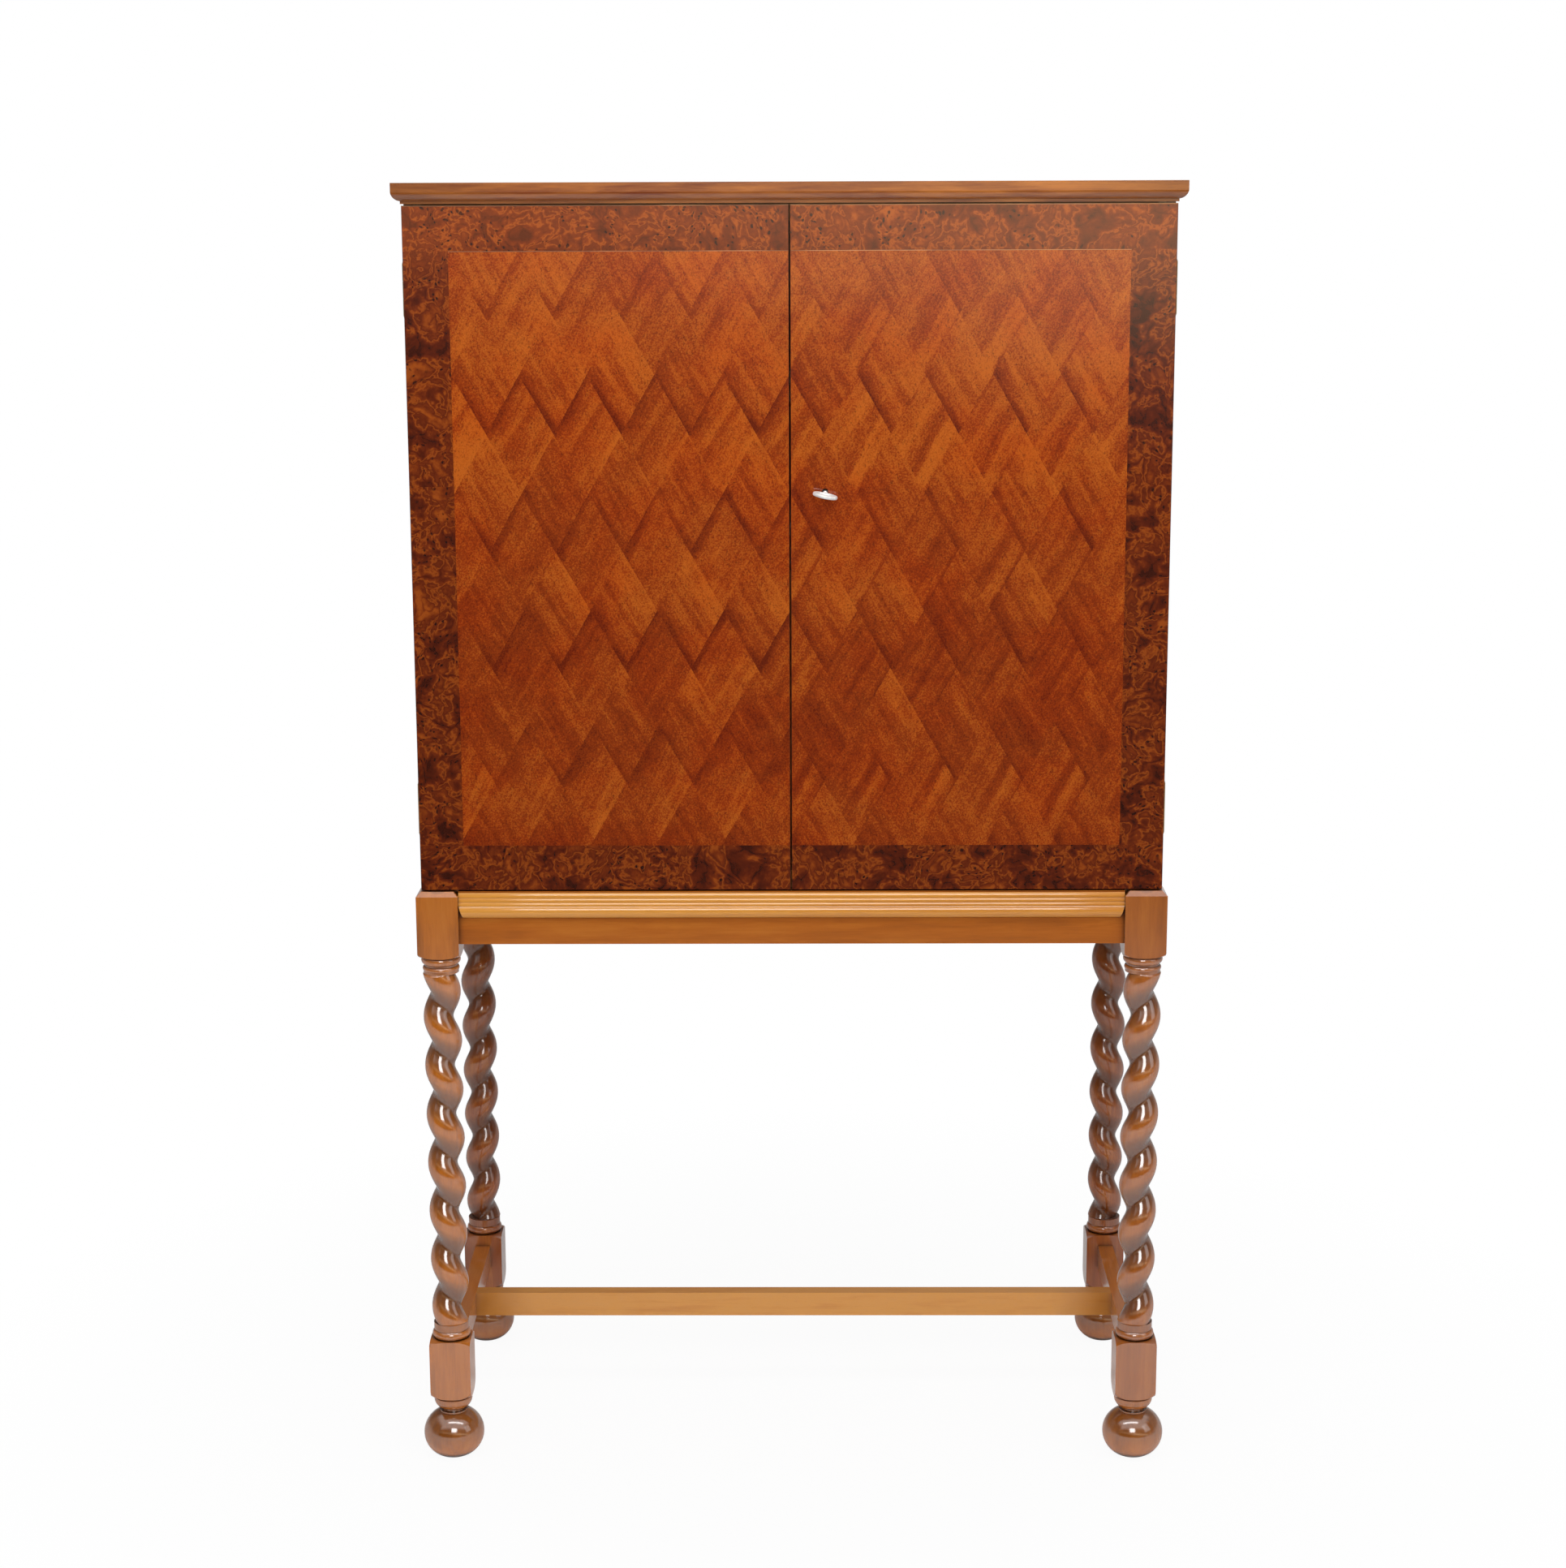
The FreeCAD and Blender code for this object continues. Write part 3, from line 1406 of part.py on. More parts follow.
def door_bolt(level):
    """A plate with two guides, and the rod that slides in them into the case."""
    way = 1 if level == "top" else -1
    deck = ceiling_z if level == "top" else floor_z
    tip = deck - way * S.rod_deck_gap
    plate_start = tip - way * S.rod_deck_gap
    plate_end = plate_start - way * S.bolt_plate_height
    half = S.bolt_plate_width / 2
    label = f"bolt_plate_{level}"
    face_y = door_back_y + S.bolt_plate_thickness
    plate = box(f"{label}_plate", (rod_x - half, door_back_y, plate_start), (rod_x + half, face_y, plate_end))
    parts = [plate]
    bores = []
    guide_half = S.guide_size / 2
    for number, start in enumerate(
        (
            plate_start - way * S.guide_end_distance,
            plate_end + way * (S.guide_end_distance + S.guide_height),
        )
    ):
        end = start - way * S.guide_height
        parts.append(
            box(
                f"{label}_guide_{number}",
                (rod_x - guide_half, face_y, start),
                (rod_x + guide_half, rod_y + guide_half, end),
            )
        )
        low, high = in_order(start, end)
        bores.append(
            cylinder(
                f"{label}_bore_{number}",
                (rod_x, rod_y, low - S.overrun),
                S.rod_radius + S.running_clearance,
                high - low + 2 * S.overrun,
            )
        )
    sub_part(cut(label, fuse(f"{label}_blank", parts), bores), label)
    rod_label = f"bolt_rod_{level}"
    low, high = in_order(tip, tip - way * S.rod_length)
    rod = cylinder(f"{rod_label}_rod", (rod_x, rod_y, low), S.rod_radius, high - low)
    knob_z = (plate_start + plate_end) / 2 - way * S.rod_throw / 2
    knob = cylinder(
        f"{rod_label}_knob", (rod_x, rod_y, knob_z), S.rod_knob_radius, S.rod_knob_length, ALONG_Y
    )
    sub_part(fuse(rod_label, [rod, knob]), rod_label)


def battens():
    """Battens inside the side aprons, screwed up into the case."""
    places = []
    inner = S.stand_width / 2 - S.apron_set_back - S.apron_thickness
    head_z = S.stand_height - S.batten_size
    for side in (LEFT, RIGHT):
        middle = side * (inner - S.batten_size / 2)
        for step in (-1, 0, 1):
            places.append((middle, centre_y + step * S.frame_screw_spacing, head_z))
    holes = screw_set(
        "frame_screws",
        places,
        (0, 0, 1),
        S.frame_screw_head_radius,
        S.frame_screw_shank_radius,
        S.frame_screw_length,
    )
    for side in (LEFT, RIGHT):
        label = f"batten_{SIDE_NAMES[side]}"
        strip = box(
            f"{label}_strip",
            (side * (inner - S.batten_size), centre_y - S.batten_length / 2, head_z),
            (side * inner, centre_y + S.batten_length / 2, S.stand_height),
        )
        sub_part(cut(label, strip, [holes]), label)
    return holes


def check_pieces():
    """Stop if any object failed, or if a finished piece is empty or broken."""
    for obj in doc.Objects:
        if "Invalid" in obj.State or "Error" in obj.State:
            raise RuntimeError(f"{obj.Name} failed: {obj.getStatusString()}")
    for piece in sub_parts:
        shape = piece.Shape
        if shape.isNull() or not shape.isValid() or not shape.Solids:
            raise RuntimeError(f"{piece.Label} has no sound shape")


def write_pieces():
    os.makedirs("parts", exist_ok=True)
    for piece in sub_parts:
        piece.Shape.exportStep(os.path.join("parts", f"{piece.Label}.step"))


def main():
    for side in (LEFT, RIGHT):
        for face in (FRONT, BACK):
            leg(side, face)
            bun_foot(side, face)
    aprons()
    stretchers()
    mouldings()
    frame_holes = battens()
    pins = shelf_pins()
    case_screws = screw_set(
        "hinge_screws_case",
        hinge_screw_places(LEFT, case_leaf_y()[0]) + hinge_screw_places(RIGHT, case_leaf_y()[0]),
        (0, 1, 0),
        S.screw_head_radius,
        S.screw_shank_radius,
        S.screw_length,
    )
    door_screws = {}
    for side in (LEFT, RIGHT):
        door_screws[side] = screw_set(
            f"hinge_screws_door_{SIDE_NAMES[side]}",
            hinge_screw_places(side, door_leaf_y()[0]),
            (0, -1, 0),
            S.screw_head_radius,
            S.screw_shank_radius,
            S.screw_length,
        )
    for side in (LEFT, RIGHT):
        case_side(side, case_screws, pins)
    case_decks(frame_holes)
    case_inside(pins)
    top_board()
    hinges(case_screws, door_screws)
    doors(door_screws)
    lock_case()
    lock_bolt()
    strike_plate()
    key()
    for level in ("top", "bottom"):
        door_bolt(level)
    doc.recompute()
    check_pieces()
    write_pieces()
    print(f"{len(sub_parts)} pieces written")


main()
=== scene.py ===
"""Bar cabinet on barley twist legs: its marquetry, key, finishes and studio."""
import math
import random

import bmesh
import bpy
from bpy.props import FloatProperty, FloatVectorProperty, IntProperty, PointerProperty
from mathutils import Matrix, Vector


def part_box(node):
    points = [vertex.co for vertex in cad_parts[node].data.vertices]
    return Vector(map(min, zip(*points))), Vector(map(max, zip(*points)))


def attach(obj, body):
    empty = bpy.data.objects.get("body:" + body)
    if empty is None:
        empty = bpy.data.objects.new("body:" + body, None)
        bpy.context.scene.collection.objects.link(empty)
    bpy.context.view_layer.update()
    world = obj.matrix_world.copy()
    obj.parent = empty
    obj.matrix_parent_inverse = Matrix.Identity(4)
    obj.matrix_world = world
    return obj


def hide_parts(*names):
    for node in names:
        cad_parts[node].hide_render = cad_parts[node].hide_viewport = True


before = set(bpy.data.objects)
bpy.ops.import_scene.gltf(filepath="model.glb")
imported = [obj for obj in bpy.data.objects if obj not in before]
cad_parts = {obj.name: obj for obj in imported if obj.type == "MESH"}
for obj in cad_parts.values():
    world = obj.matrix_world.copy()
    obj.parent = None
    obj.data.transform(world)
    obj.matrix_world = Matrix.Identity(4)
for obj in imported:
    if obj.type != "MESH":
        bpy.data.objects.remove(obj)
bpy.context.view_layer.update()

bl_info = {
    "name": "Barley Twist Bar Cabinet",
    "version": (1, 0, 0),
    "blender": (4, 5, 0),
    "location": "3D View > Sidebar > Cabinet",
    "description": "Lays the doors' marquetry, makes the key and finishes a bar cabinet",
    "category": "Add Mesh",
}

MM = 0.001
# Where the key stands in the right door: across from the middle, and up from the floor
KEY_SPOT = (40.5 * MM, 1198.2 * MM)
KEYHOLE_RADIUS = 3.9 * MM
KEYHOLE_SLOT = 3.6 * MM
KEYHOLE_DROP = 8.5 * MM
# How far the key's bow reaches out from the middle of the door, and the width of its rim
KEY_REACH = 44.5 * MM
BOW_RIM = 5.2 * MM
# Centre and size of the key's bit, from the middle of the door
BIT_CENTRE = (5.5, 4.0, 0.0)
BIT_SIZE = (11.0, 5.0, 2.4)
# The eased edge round each veneer sheet, and how much wider it is along the top, where its pale finish is a
# painted highlight
ARRIS = 0.4 * MM
TOP_ARRIS = 2.5
# Heights of the joints between the leaves of burl at the doors' outer sides
BURL_JOINTS = (0.985, 1.205, 1.432)
# The painted shade in a wood's corners and grooves darkens it where something stands nearer than this
PAINTED_SHADE_REACH = 12 * MM


# Settings


def length(name, description, default):
    return FloatProperty(
        name=name, description=description, default=default, subtype="DISTANCE", unit="LENGTH"
    )


def colour(name, description, shade):
    """A colour setting, given as it looks on screen, from 0 to 255."""
    linear = tuple(from_screen(part / 255) for part in shade)
    return FloatVectorProperty(
        name=name, description=description, default=linear, subtype="COLOR", size=3, min=0.0, max=1.0
    )


def from_screen(part):
    return part / 12.92 if part <= 0.04045 else ((part + 0.055) / 1.055) ** 2.4


class CabinetMarquetry(bpy.types.PropertyGroup):
    """Sizes and colours of the veneer on the doors."""

    lozenge_width: length("Lozenge Width", "Width of one lozenge of the parquetry", 77.9 * MM)
    lozenge_height: length("Lozenge Height", "Height of one lozenge of the parquetry", 136.7 * MM)
    first_row: length("First Row", "Height of the highest row of lozenge centres", 1470.0 * MM)
    band_width: length("Band Width", "Width of the burl bands round each door", 52.0 * MM)
    lower_band: length("Lower Band", "Width of the burl band at a door's foot", 54.2 * MM)
    seam: length("Seam", "Height of the pale line under the upper band", 0.8 * MM)
    ribbon_light: colour("Ribbon Light", "Light stripe of the ribbon mahogany", (183, 91, 22))
    ribbon_middle: colour("Ribbon Middle", "Body colour of the ribbon mahogany", (141, 53, 8))
    ribbon_dark: colour("Ribbon Dark", "Dark stripe of the ribbon mahogany", (98, 30, 5))
    ribbon_glow: colour("Ribbon Glow", "Tint of the redder patches in the doors' mahogany", (255, 232, 200))
    burl_light: colour("Burl Light", "Amber curls of the burl", (148, 69, 17))
    burl_middle: colour("Burl Middle", "Body colour of the burl", (112, 43, 10))
    burl_shade: colour("Burl Shade", "Red-brown ground of the burl", (88, 30, 8))
    burl_dark: colour("Burl Dark", "Dark lines of the burl", (60, 19, 7))
    burl_eye: colour("Burl Eye", "Eyes of the burl", (38, 13, 7))
    seed: IntProperty(name="Seed", description="Which sheets of veneer were used", default=7, min=0)


class CabinetWoods(bpy.types.PropertyGroup):
    """Colours of the solid woods."""

    top_light: colour("Top Light", "Light figure of the top board", (176, 103, 37))
    top_dark: colour("Top Dark", "Dark figure of the top board", (108, 46, 17))
    case_light: colour("Case Light", "Light grain of the case sides", (140, 68, 32))
    case_dark: colour("Case Dark", "Dark grain of the case sides", (92, 38, 18))
    stand_light: colour("Stand Light", "Light grain of the stand", (206, 128, 44))
    stand_middle: colour("Stand Middle", "Body colour of the stand", (187, 105, 26))
    # Stand Dark is the stand's dark grain; half of it is also the painted shade in the turnings' valleys, on
    # the feet and up the back legs.
    stand_dark: colour("Stand Dark", "Stain that lies deep in the stand's turnings", (98, 49, 18))
    # The right front leg's darker body colour is painted shade: that side stands as if it were less lit.
    shaded_right_leg: colour("Right Leg", "Body colour of the right front leg", (168, 92, 28))
    # The back legs' darker body colour is painted shade: the case above keeps light from them.
    shaded_back_leg: colour("Back Leg", "Body colour of the back legs", (150, 78, 32))
    moulding: colour("Moulding", "Light grain of the stand's mouldings", (214, 148, 68))
    rail: colour("Rail", "Body colour of the aprons", (171, 92, 24))
    # The cross stretcher's paler colour is partly its wood and partly painted light, standing for what it
    # catches from the white floor and the lamps.
    stretcher: colour("Stretcher", "Body colour of the cross stretcher", (216, 146, 58))
    lipping: colour("Lipping", "Dark edges of the doors' veneer", (56, 18, 8))
    inside_light: colour("Inside Light", "Light grain inside the case", (196, 140, 88))
    inside_dark: colour("Inside Dark", "Dark grain inside the case", (150, 94, 54))


class CabinetMetals(bpy.types.PropertyGroup):
    """Sizes of the key and colours of the metals."""

    bow_width: length("Bow Width", "Width of the key's bow", 29.0 * MM)
    bow_depth: length("Bow Depth", "Depth of the key's bow along its shaft", 24.0 * MM)
    bow_thickness: length("Bow Thickness", "Thickness of the key's bow", 4.2 * MM)
    # Nickel is pale by itself; its near-white colour on a mostly non-metallic key also stands for bright
    # light reflected in it, a painted sheen.
    nickel: colour("Nickel", "Plating of the key", (247, 246, 243))
    brass: colour("Brass", "Hinges, bolts and shelf pins", (196, 154, 84))
    steel: colour("Steel", "Lock case and long screws", (140, 140, 142))


class CabinetStudio(bpy.types.PropertyGroup):
    """The floor, lamps and camera."""

    floor_radius: length("Floor Radius", "Radius of the pale floor", 30.0)
    lens: FloatProperty(name="Lens", description="Focal length of the camera", default=65.29, unit="CAMERA")
    camera_place: FloatVectorProperty(
        name="Camera Place", description="Where the camera stands", default=(0.018459, -3.489184, 1.528313),
        size=3, subtype="XYZ", unit="LENGTH",
    )
    camera_pitch: FloatProperty(
        name="Camera Pitch", description="How far the camera looks up from straight down",
        default=math.radians(78.416), subtype="ANGLE", unit="ROTATION",
    )
    camera_turn: FloatProperty(
        name="Camera Turn", description="How far the camera is turned to the left",
        default=math.radians(0.4846), subtype="ANGLE", unit="ROTATION",
    )
    camera_roll: FloatProperty(
        name="Camera Roll", description="How far the camera leans over", default=-0.0036,
        subtype="ANGLE", unit="ROTATION",
    )


# Finishes


class Finish:
    """A material and the nodes that make its colour, gloss and grain."""

    def __init__(self, name, roughness, metallic=0.0, coat=0.0, coat_roughness=0.05, shine=1.75):
        self.material = bpy.data.materials.new(name)
        self.material.use_nodes = True
        self.tree = self.material.node_tree
        self.surface = self.tree.nodes["Principled BSDF"]
        self.surface.inputs["Roughness"].default_value = roughness
        self.surface.inputs["Metallic"].default_value = metallic
        self.surface.inputs["Coat Weight"].default_value = coat
        self.surface.inputs["Coat Roughness"].default_value = coat_roughness
        self.surface.inputs["Coat IOR"].default_value = shine
        if coat:
            self.surface.inputs["Specular IOR Level"].default_value = 0.05

    def node(self, kind, settings=None, **sockets):
        made = self.tree.nodes.new(kind)
        for name, value in (settings or {}).items():
            setattr(made, name, value)
        for name, value in sockets.items():
            socket = made.inputs[name.replace("_", " ")]
            if isinstance(value, bpy.types.NodeSocket):
                self.tree.links.new(value, socket)
            else:
                socket.default_value = value
        return made

    def place(self):
        """Points of the object in metres."""
        return self.node("ShaderNodeTexCoord").outputs["Object"]

    def stretched(self, vector, scale, location=(0, 0, 0)):
        return self.node("ShaderNodeMapping", Vector=vector, Scale=scale, Location=location).outputs["Vector"]

    def noise(self, vector, scale, detail=4.0, roughness=0.55, distortion=0.0):
        made = self.node(
            "ShaderNodeTexNoise", Vector=vector, Scale=scale, Detail=detail,
            Roughness=roughness, Distortion=distortion,
        )
        return made.outputs["Fac"]

    def cells(self, vector, scale, feature="F1", output="Distance"):
        made = self.node("ShaderNodeTexVoronoi", {"feature": feature}, Vector=vector, Scale=scale)
        return made.outputs[output]

    def ramp(self, factor, stops):
        """Colours along a factor: stops are pairs of a place and a colour or a grey."""
        made = self.node("ShaderNodeValToRGB", Fac=factor)
        ramp = made.color_ramp
        while len(ramp.elements) < len(stops):
            ramp.elements.new(0.5)
        for element, (place, shade) in zip(ramp.elements, stops):
            element.position = place
            element.color = (*shade, 1) if hasattr(shade, "__len__") else (shade, shade, shade, 1)
        return made.outputs["Color"]

    def sum(self, operation, first, second):
        made = self.node("ShaderNodeMath", {"operation": operation})
        for socket, value in zip(made.inputs, (first, second, 0.5)):
            if isinstance(value, bpy.types.NodeSocket):
                self.tree.links.new(value, socket)
            else:
                socket.default_value = value
        return made.outputs["Value"]

    def warped(self, vector, scale, reach):
        """Points pushed about by a noise, for grain that swirls."""
        push = self.node("ShaderNodeTexNoise", Vector=vector, Scale=scale, Detail=2.0).outputs["Color"]
        centred = self.node("ShaderNodeVectorMath", {"operation": "SUBTRACT"})
        self.tree.links.new(push, centred.inputs[0])
        centred.inputs[1].default_value = (0.5, 0.5, 0.5)
        moved = self.node("ShaderNodeVectorMath", {"operation": "MULTIPLY_ADD"})
        self.tree.links.new(centred.outputs[0], moved.inputs[0])
        moved.inputs[1].default_value = (reach, reach, reach)
        self.tree.links.new(vector, moved.inputs[2])
        return moved.outputs[0]

    def parts(self, vector):
        return self.node("ShaderNodeSeparateXYZ", Vector=vector).outputs

    def span(self, vector):
        """How long a vector is."""
        made = self.node("ShaderNodeVectorMath", {"operation": "LENGTH"}, Vector=vector)
        return made.outputs["Value"]

    def point(self, x, y, z):
        return self.node("ShaderNodeCombineXYZ", X=x, Y=y, Z=z).outputs["Vector"]

    def mix(self, factor, first, second, blend="MIX"):
        made = self.node("ShaderNodeMix", {"data_type": "RGBA", "blend_type": blend})
        for socket, value in ((made.inputs[0], factor), (made.inputs[6], first), (made.inputs[7], second)):
            if isinstance(value, bpy.types.NodeSocket):
                self.tree.links.new(value, socket)
            elif hasattr(value, "__len__"):
                socket.default_value = (*value, 1)
            elif socket.type == "RGBA":
                socket.default_value = (value, value, value, 1)
            else:
                socket.default_value = value
        return made.outputs[2]

    def share(self, name):
        """A number that each face of the mesh carries."""
        return self.node("ShaderNodeAttribute", {"attribute_name": name}).outputs["Fac"]

    def finished(self, colour_socket, roughness=None, height=None, depth=0.0001, strength=0.3):
        """Join the colour, gloss and relief to the surface."""
        self.tree.links.new(colour_socket, self.surface.inputs["Base Color"])
        if roughness is not None:
            self.tree.links.new(roughness, self.surface.inputs["Roughness"])
        if height is not None:
            bump = self.node("ShaderNodeBump", Height=height, Distance=depth, Strength=strength)
            self.tree.links.new(bump.outputs["Normal"], self.surface.inputs["Normal"])
        return self.material


def along_grain(axis, ratio):
    """Scales that draw a pattern out along one axis."""
    return tuple(1 / ratio if name == axis else 1.0 for name in "xyz")


def ribbon_finish(look):
    """Ribbon mahogany: stripes that run along the grain and are alike in all the pieces of a row."""
    finish = Finish("ribbon_mahogany", 0.45, coat=1.0, coat_roughness=0.06)
    uv = finish.parts(finish.node("ShaderNodeUVMap", {"uv_map": "grain"}).outputs["UV"])
    across, along = uv["X"], uv["Y"]
    leaf = finish.share("leaf")
    place = finish.place()
    wander = finish.noise(finish.point(across, finish.sum("MULTIPLY", along, 0.5), leaf), 24, 2)
    shifted = finish.sum("ADD", across, finish.sum("MULTIPLY", finish.sum("SUBTRACT", wander, 0.5), 0.014))
    width = finish.sum("DIVIDE", shifted, piece_width(look))
    dark_edged = finish.ramp(
        width,
        [
            (0.0, 0.20), (0.08, 0.32), (0.16, 0.50), (0.38, 0.58),
            (0.48, 0.47), (0.58, 0.57), (0.88, 0.64), (1.0, 0.70),
        ],
    )
    bright_edged = finish.ramp(
        width,
        [
            (0.0, 0.50), (0.3, 0.60), (0.48, 0.56), (0.60, 0.42),
            (0.67, 0.46), (0.74, 0.66), (0.90, 0.68), (1.0, 0.40),
        ],
    )
    edge = finish.mix(finish.share("bright"), dark_edged, bright_edged)
    long_way = finish.sum("MULTIPLY", along, 0.06)
    ribbons = finish.ramp(
        finish.noise(finish.point(shifted, long_way, leaf), 115, 2, 0.5), [(0.36, 0.1), (0.64, 0.9)]
    )
    fine = finish.noise(finish.point(across, finish.sum("MULTIPLY", along, 0.05), leaf), 460, 2, 0.6)
    # The pieces stand out most about the middle of the doors, and less at the top and foot.
    height = height_share(finish)
    middle = finish.ramp(height, [(0.05, 0.60), (0.35, 1.0), (0.72, 1.0), (0.92, 0.60)])
    chance = finish.ramp(finish.noise(place, 15, 2), [(0.36, 0.45), (0.54, 1.0)])
    own = finish.sum("ADD", finish.sum("MULTIPLY", finish.share("tone"), 16.0), 0.5)
    strength = finish.sum("MULTIPLY", chance, finish.ramp(own, [(0.2, 0.5), (0.7, 1.0)]))
    striped = finish.mix(finish.sum("MULTIPLY", middle, strength), 0.53, edge)
    made = finish.mix(0.11, striped, ribbons)
    made = finish.mix(0.16, made, fine)
    mottle = finish.noise(place, 42, 4, 0.6)
    made = finish.mix(0.20, made, mottle)
    flecks = finish.ramp(finish.noise(place, 520, 2, 0.7), [(0.40, 0.1), (0.60, 0.9)])
    made = finish.mix(0.13, made, flecks)
    # Painted light: the doors grow a little lighter towards the top, as if more light fell there.
    painted_light_upward = finish.sum("MULTIPLY", finish.sum("SUBTRACT", height, 0.5), 0.07)
    toned = finish.sum("ADD", finish.sum("ADD", made, painted_light_upward), tone_of(finish))
    colour_made = finish.ramp(
        toned, [(0.36, look.ribbon_dark), (0.50, look.ribbon_middle), (0.64, look.ribbon_light)]
    )
    glow = finish.ramp(finish.noise(place, 13, 3, 0.6), [(0.44, 0.0), (0.62, 0.8)])
    colour_made = finish.mix(glow, colour_made, look.ribbon_glow, "MULTIPLY")
    pores = finish.noise(finish.stretched(place, (1, 1, 0.55)), 640, 2, 0.7)
    dark = finish.ramp(pores, [(0.57, 0.0), (0.68, 0.6)])
    colour_made = finish.mix(dark, colour_made, look.burl_dark)
    return finish.finished(colour_made, height=mottle, depth=0.0002, strength=0.08)


def piece_width(look):
    """Width of a lozenge across its grain, which runs along its sides."""
    side = math.hypot(look.lozenge_width, look.lozenge_height) / 2
    return look.lozenge_width * look.lozenge_height / 2 / side


def height_share(finish):
    """How far up the doors a spot is, from 0 at their foot to 1 at their top."""
    low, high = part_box("door_left")
    above = finish.sum("SUBTRACT", finish.parts(finish.place())["Z"], low.z)
    return finish.sum("DIVIDE", above, high.z - low.z)


def tone_of(finish):
    """A piece's own shade, and the slow drift of shade over a whole door."""
    drift = finish.sum("SUBTRACT", finish.noise(finish.place(), 4.5, 2), 0.5)
    return finish.sum("ADD", finish.share("tone"), finish.sum("MULTIPLY", drift, 0.16))


def burl_finish(look):
    """Burl: amber curls with bright rims and clusters of small eyes, on a red-brown ground."""
    finish = Finish("burl", 0.45, coat=1.0, coat_roughness=0.06)
    spot = finish.parts(finish.place())
    leaf = finish.share("leaf")
    moved_x = finish.sum("ADD", spot["X"], leaf)
    moved_z = finish.sum("SUBTRACT", spot["Z"], leaf)
    place = finish.point(moved_x, spot["Y"], moved_z)
    bent = finish.warped(finish.warped(place, 14, 0.04), 60, 0.012)
    clouds = finish.noise(bent, 34, 3, 0.55)
    lines = finish.sum("SINE", finish.sum("MULTIPLY", finish.noise(bent, 24, 2, 0.5), 20.0), 0)
    veins = finish.ramp(finish.sum("ABSOLUTE", lines, 0), [(0.0, 0.30), (0.40, 0.50), (1.0, 0.62)])
    fine = finish.noise(bent, 200, 3, 0.6)
    made = finish.mix(0.14, finish.mix(0.30, clouds, veins), fine)
    colour_made = finish.ramp(
        made,
        [
            (0.38, look.burl_dark), (0.46, look.burl_shade), (0.50, look.burl_middle),
            (0.52, look.burl_light), (0.55, look.burl_shade), (0.60, look.burl_middle),
            (0.66, look.burl_light),
        ],
    )
    # Painted light: the bands along the top are paler and brighter, as if more light fell on them from above.
    painted_top_light = finish.ramp(height_share(finish), [(0.90, 0.0), (0.95, 1.0)])
    colour_made = finish.mix(finish.sum("MULTIPLY", painted_top_light, 0.16), colour_made, look.burl_light)
    painted_top_gain = finish.sum("ADD", finish.sum("MULTIPLY", painted_top_light, 0.24), 1.0)
    colour_made = finish.mix(1.0, colour_made, painted_top_gain, "MULTIPLY")
    gathered = finish.ramp(finish.noise(place, 24, 2), [(0.46, 0.0), (0.54, 1.0)])
    eyes = finish.ramp(finish.cells(bent, 150), [(0.18, 0.85), (0.30, 0.0)])
    colour_made = finish.mix(finish.sum("MULTIPLY", eyes, gathered), colour_made, look.burl_eye)
    specks = finish.ramp(finish.noise(place, 620, 2, 0.7), [(0.60, 0.0), (0.74, 0.5)])
    colour_made = finish.mix(specks, colour_made, look.burl_dark)
    return finish.finished(colour_made, height=fine, depth=0.0002, strength=0.1)


def wood_finish(name, light, dark, axis, gloss=0.45, coat=1.0, figure=0.5, ratio=9.0, middle=None,
                spread=0.17, stain_and_shade=None, inside=None, corners=0.0, coat_roughness=0.05, shine=1.75):
    """Straight-grained wood with its fibres along an axis, painted shade in its corners and grooves, and
    masks that lay on more stain and painted shade.
    """
    finish = Finish(name, gloss, coat=coat, coat_roughness=coat_roughness, shine=shine)
    place = finish.place()
    drawn = finish.stretched(place, along_grain(axis, ratio))
    broad = finish.noise(drawn, 26, 4, 0.55, 0.9)
    bands = finish.noise(drawn, 110, 4, 0.6, 0.4)
    fibres = finish.noise(finish.stretched(place, along_grain(axis, 40)), 700, 3, 0.7)
    made = finish.mix(figure, bands, broad)
    made = finish.mix(0.18, made, fibres)
    stops = [(0.5 - spread, dark), (0.5 + spread, light)]
    if middle is not None:
        stops.insert(1, (0.5, middle))
    colour_made = finish.ramp(made, stops)
    open_grain = finish.noise(finish.stretched(place, along_grain(axis, 14)), 1500, 2, 0.7)
    pores = finish.ramp(open_grain, [(0.62, 0.0), (0.78, 0.25)])
    deepest = tuple(part * 0.4 for part in dark)
    colour_made = finish.mix(pores, colour_made, deepest)
    # The mask darkens the colour: more stain at the ends of the top board and the cross stretcher, stretches
    # of the pale seam, stain and painted shade in the legs' valleys, and painted shade on the feet and up the
    # back legs.
    if stain_and_shade is not None:
        colour_made = finish.mix(stain_and_shade(finish, place), colour_made, tuple(part * 0.5 for part in dark))
    # Painted shade: the colour darkens in corners and grooves, by how closely other surfaces stand round a
    # spot.
    if corners:
        near = finish.node("ShaderNodeAmbientOcclusion", {"samples": 8}, Distance=PAINTED_SHADE_REACH)
        share = finish.ramp(near.outputs["AO"], [(0.35, corners), (0.80, 0.0)])
        colour_made = finish.mix(share, colour_made, deepest)
    if inside is not None:
        pale = finish.ramp(made, [(0.33, inside[1]), (0.67, inside[0])])
        colour_made = finish.mix(pale_inside(finish, place), colour_made, pale)
    gloss_made = finish.ramp(broad, [(0.3, gloss * 0.85), (0.7, gloss * 1.15)])
    return finish.finished(colour_made, roughness=gloss_made)


def pale_inside(finish, place):
    """How far a spot on a case side lies inside the case."""
    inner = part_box("fixed_shelf")[1].x
    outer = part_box("case_side_right")[1].x
    across = finish.sum("ABSOLUTE", finish.parts(place)["X"], 0)
    share = finish.sum("DIVIDE", finish.sum("SUBTRACT", across, inner), outer - inner)
    return finish.ramp(share, [(0.4, 1.0), (0.5, 0.0)])


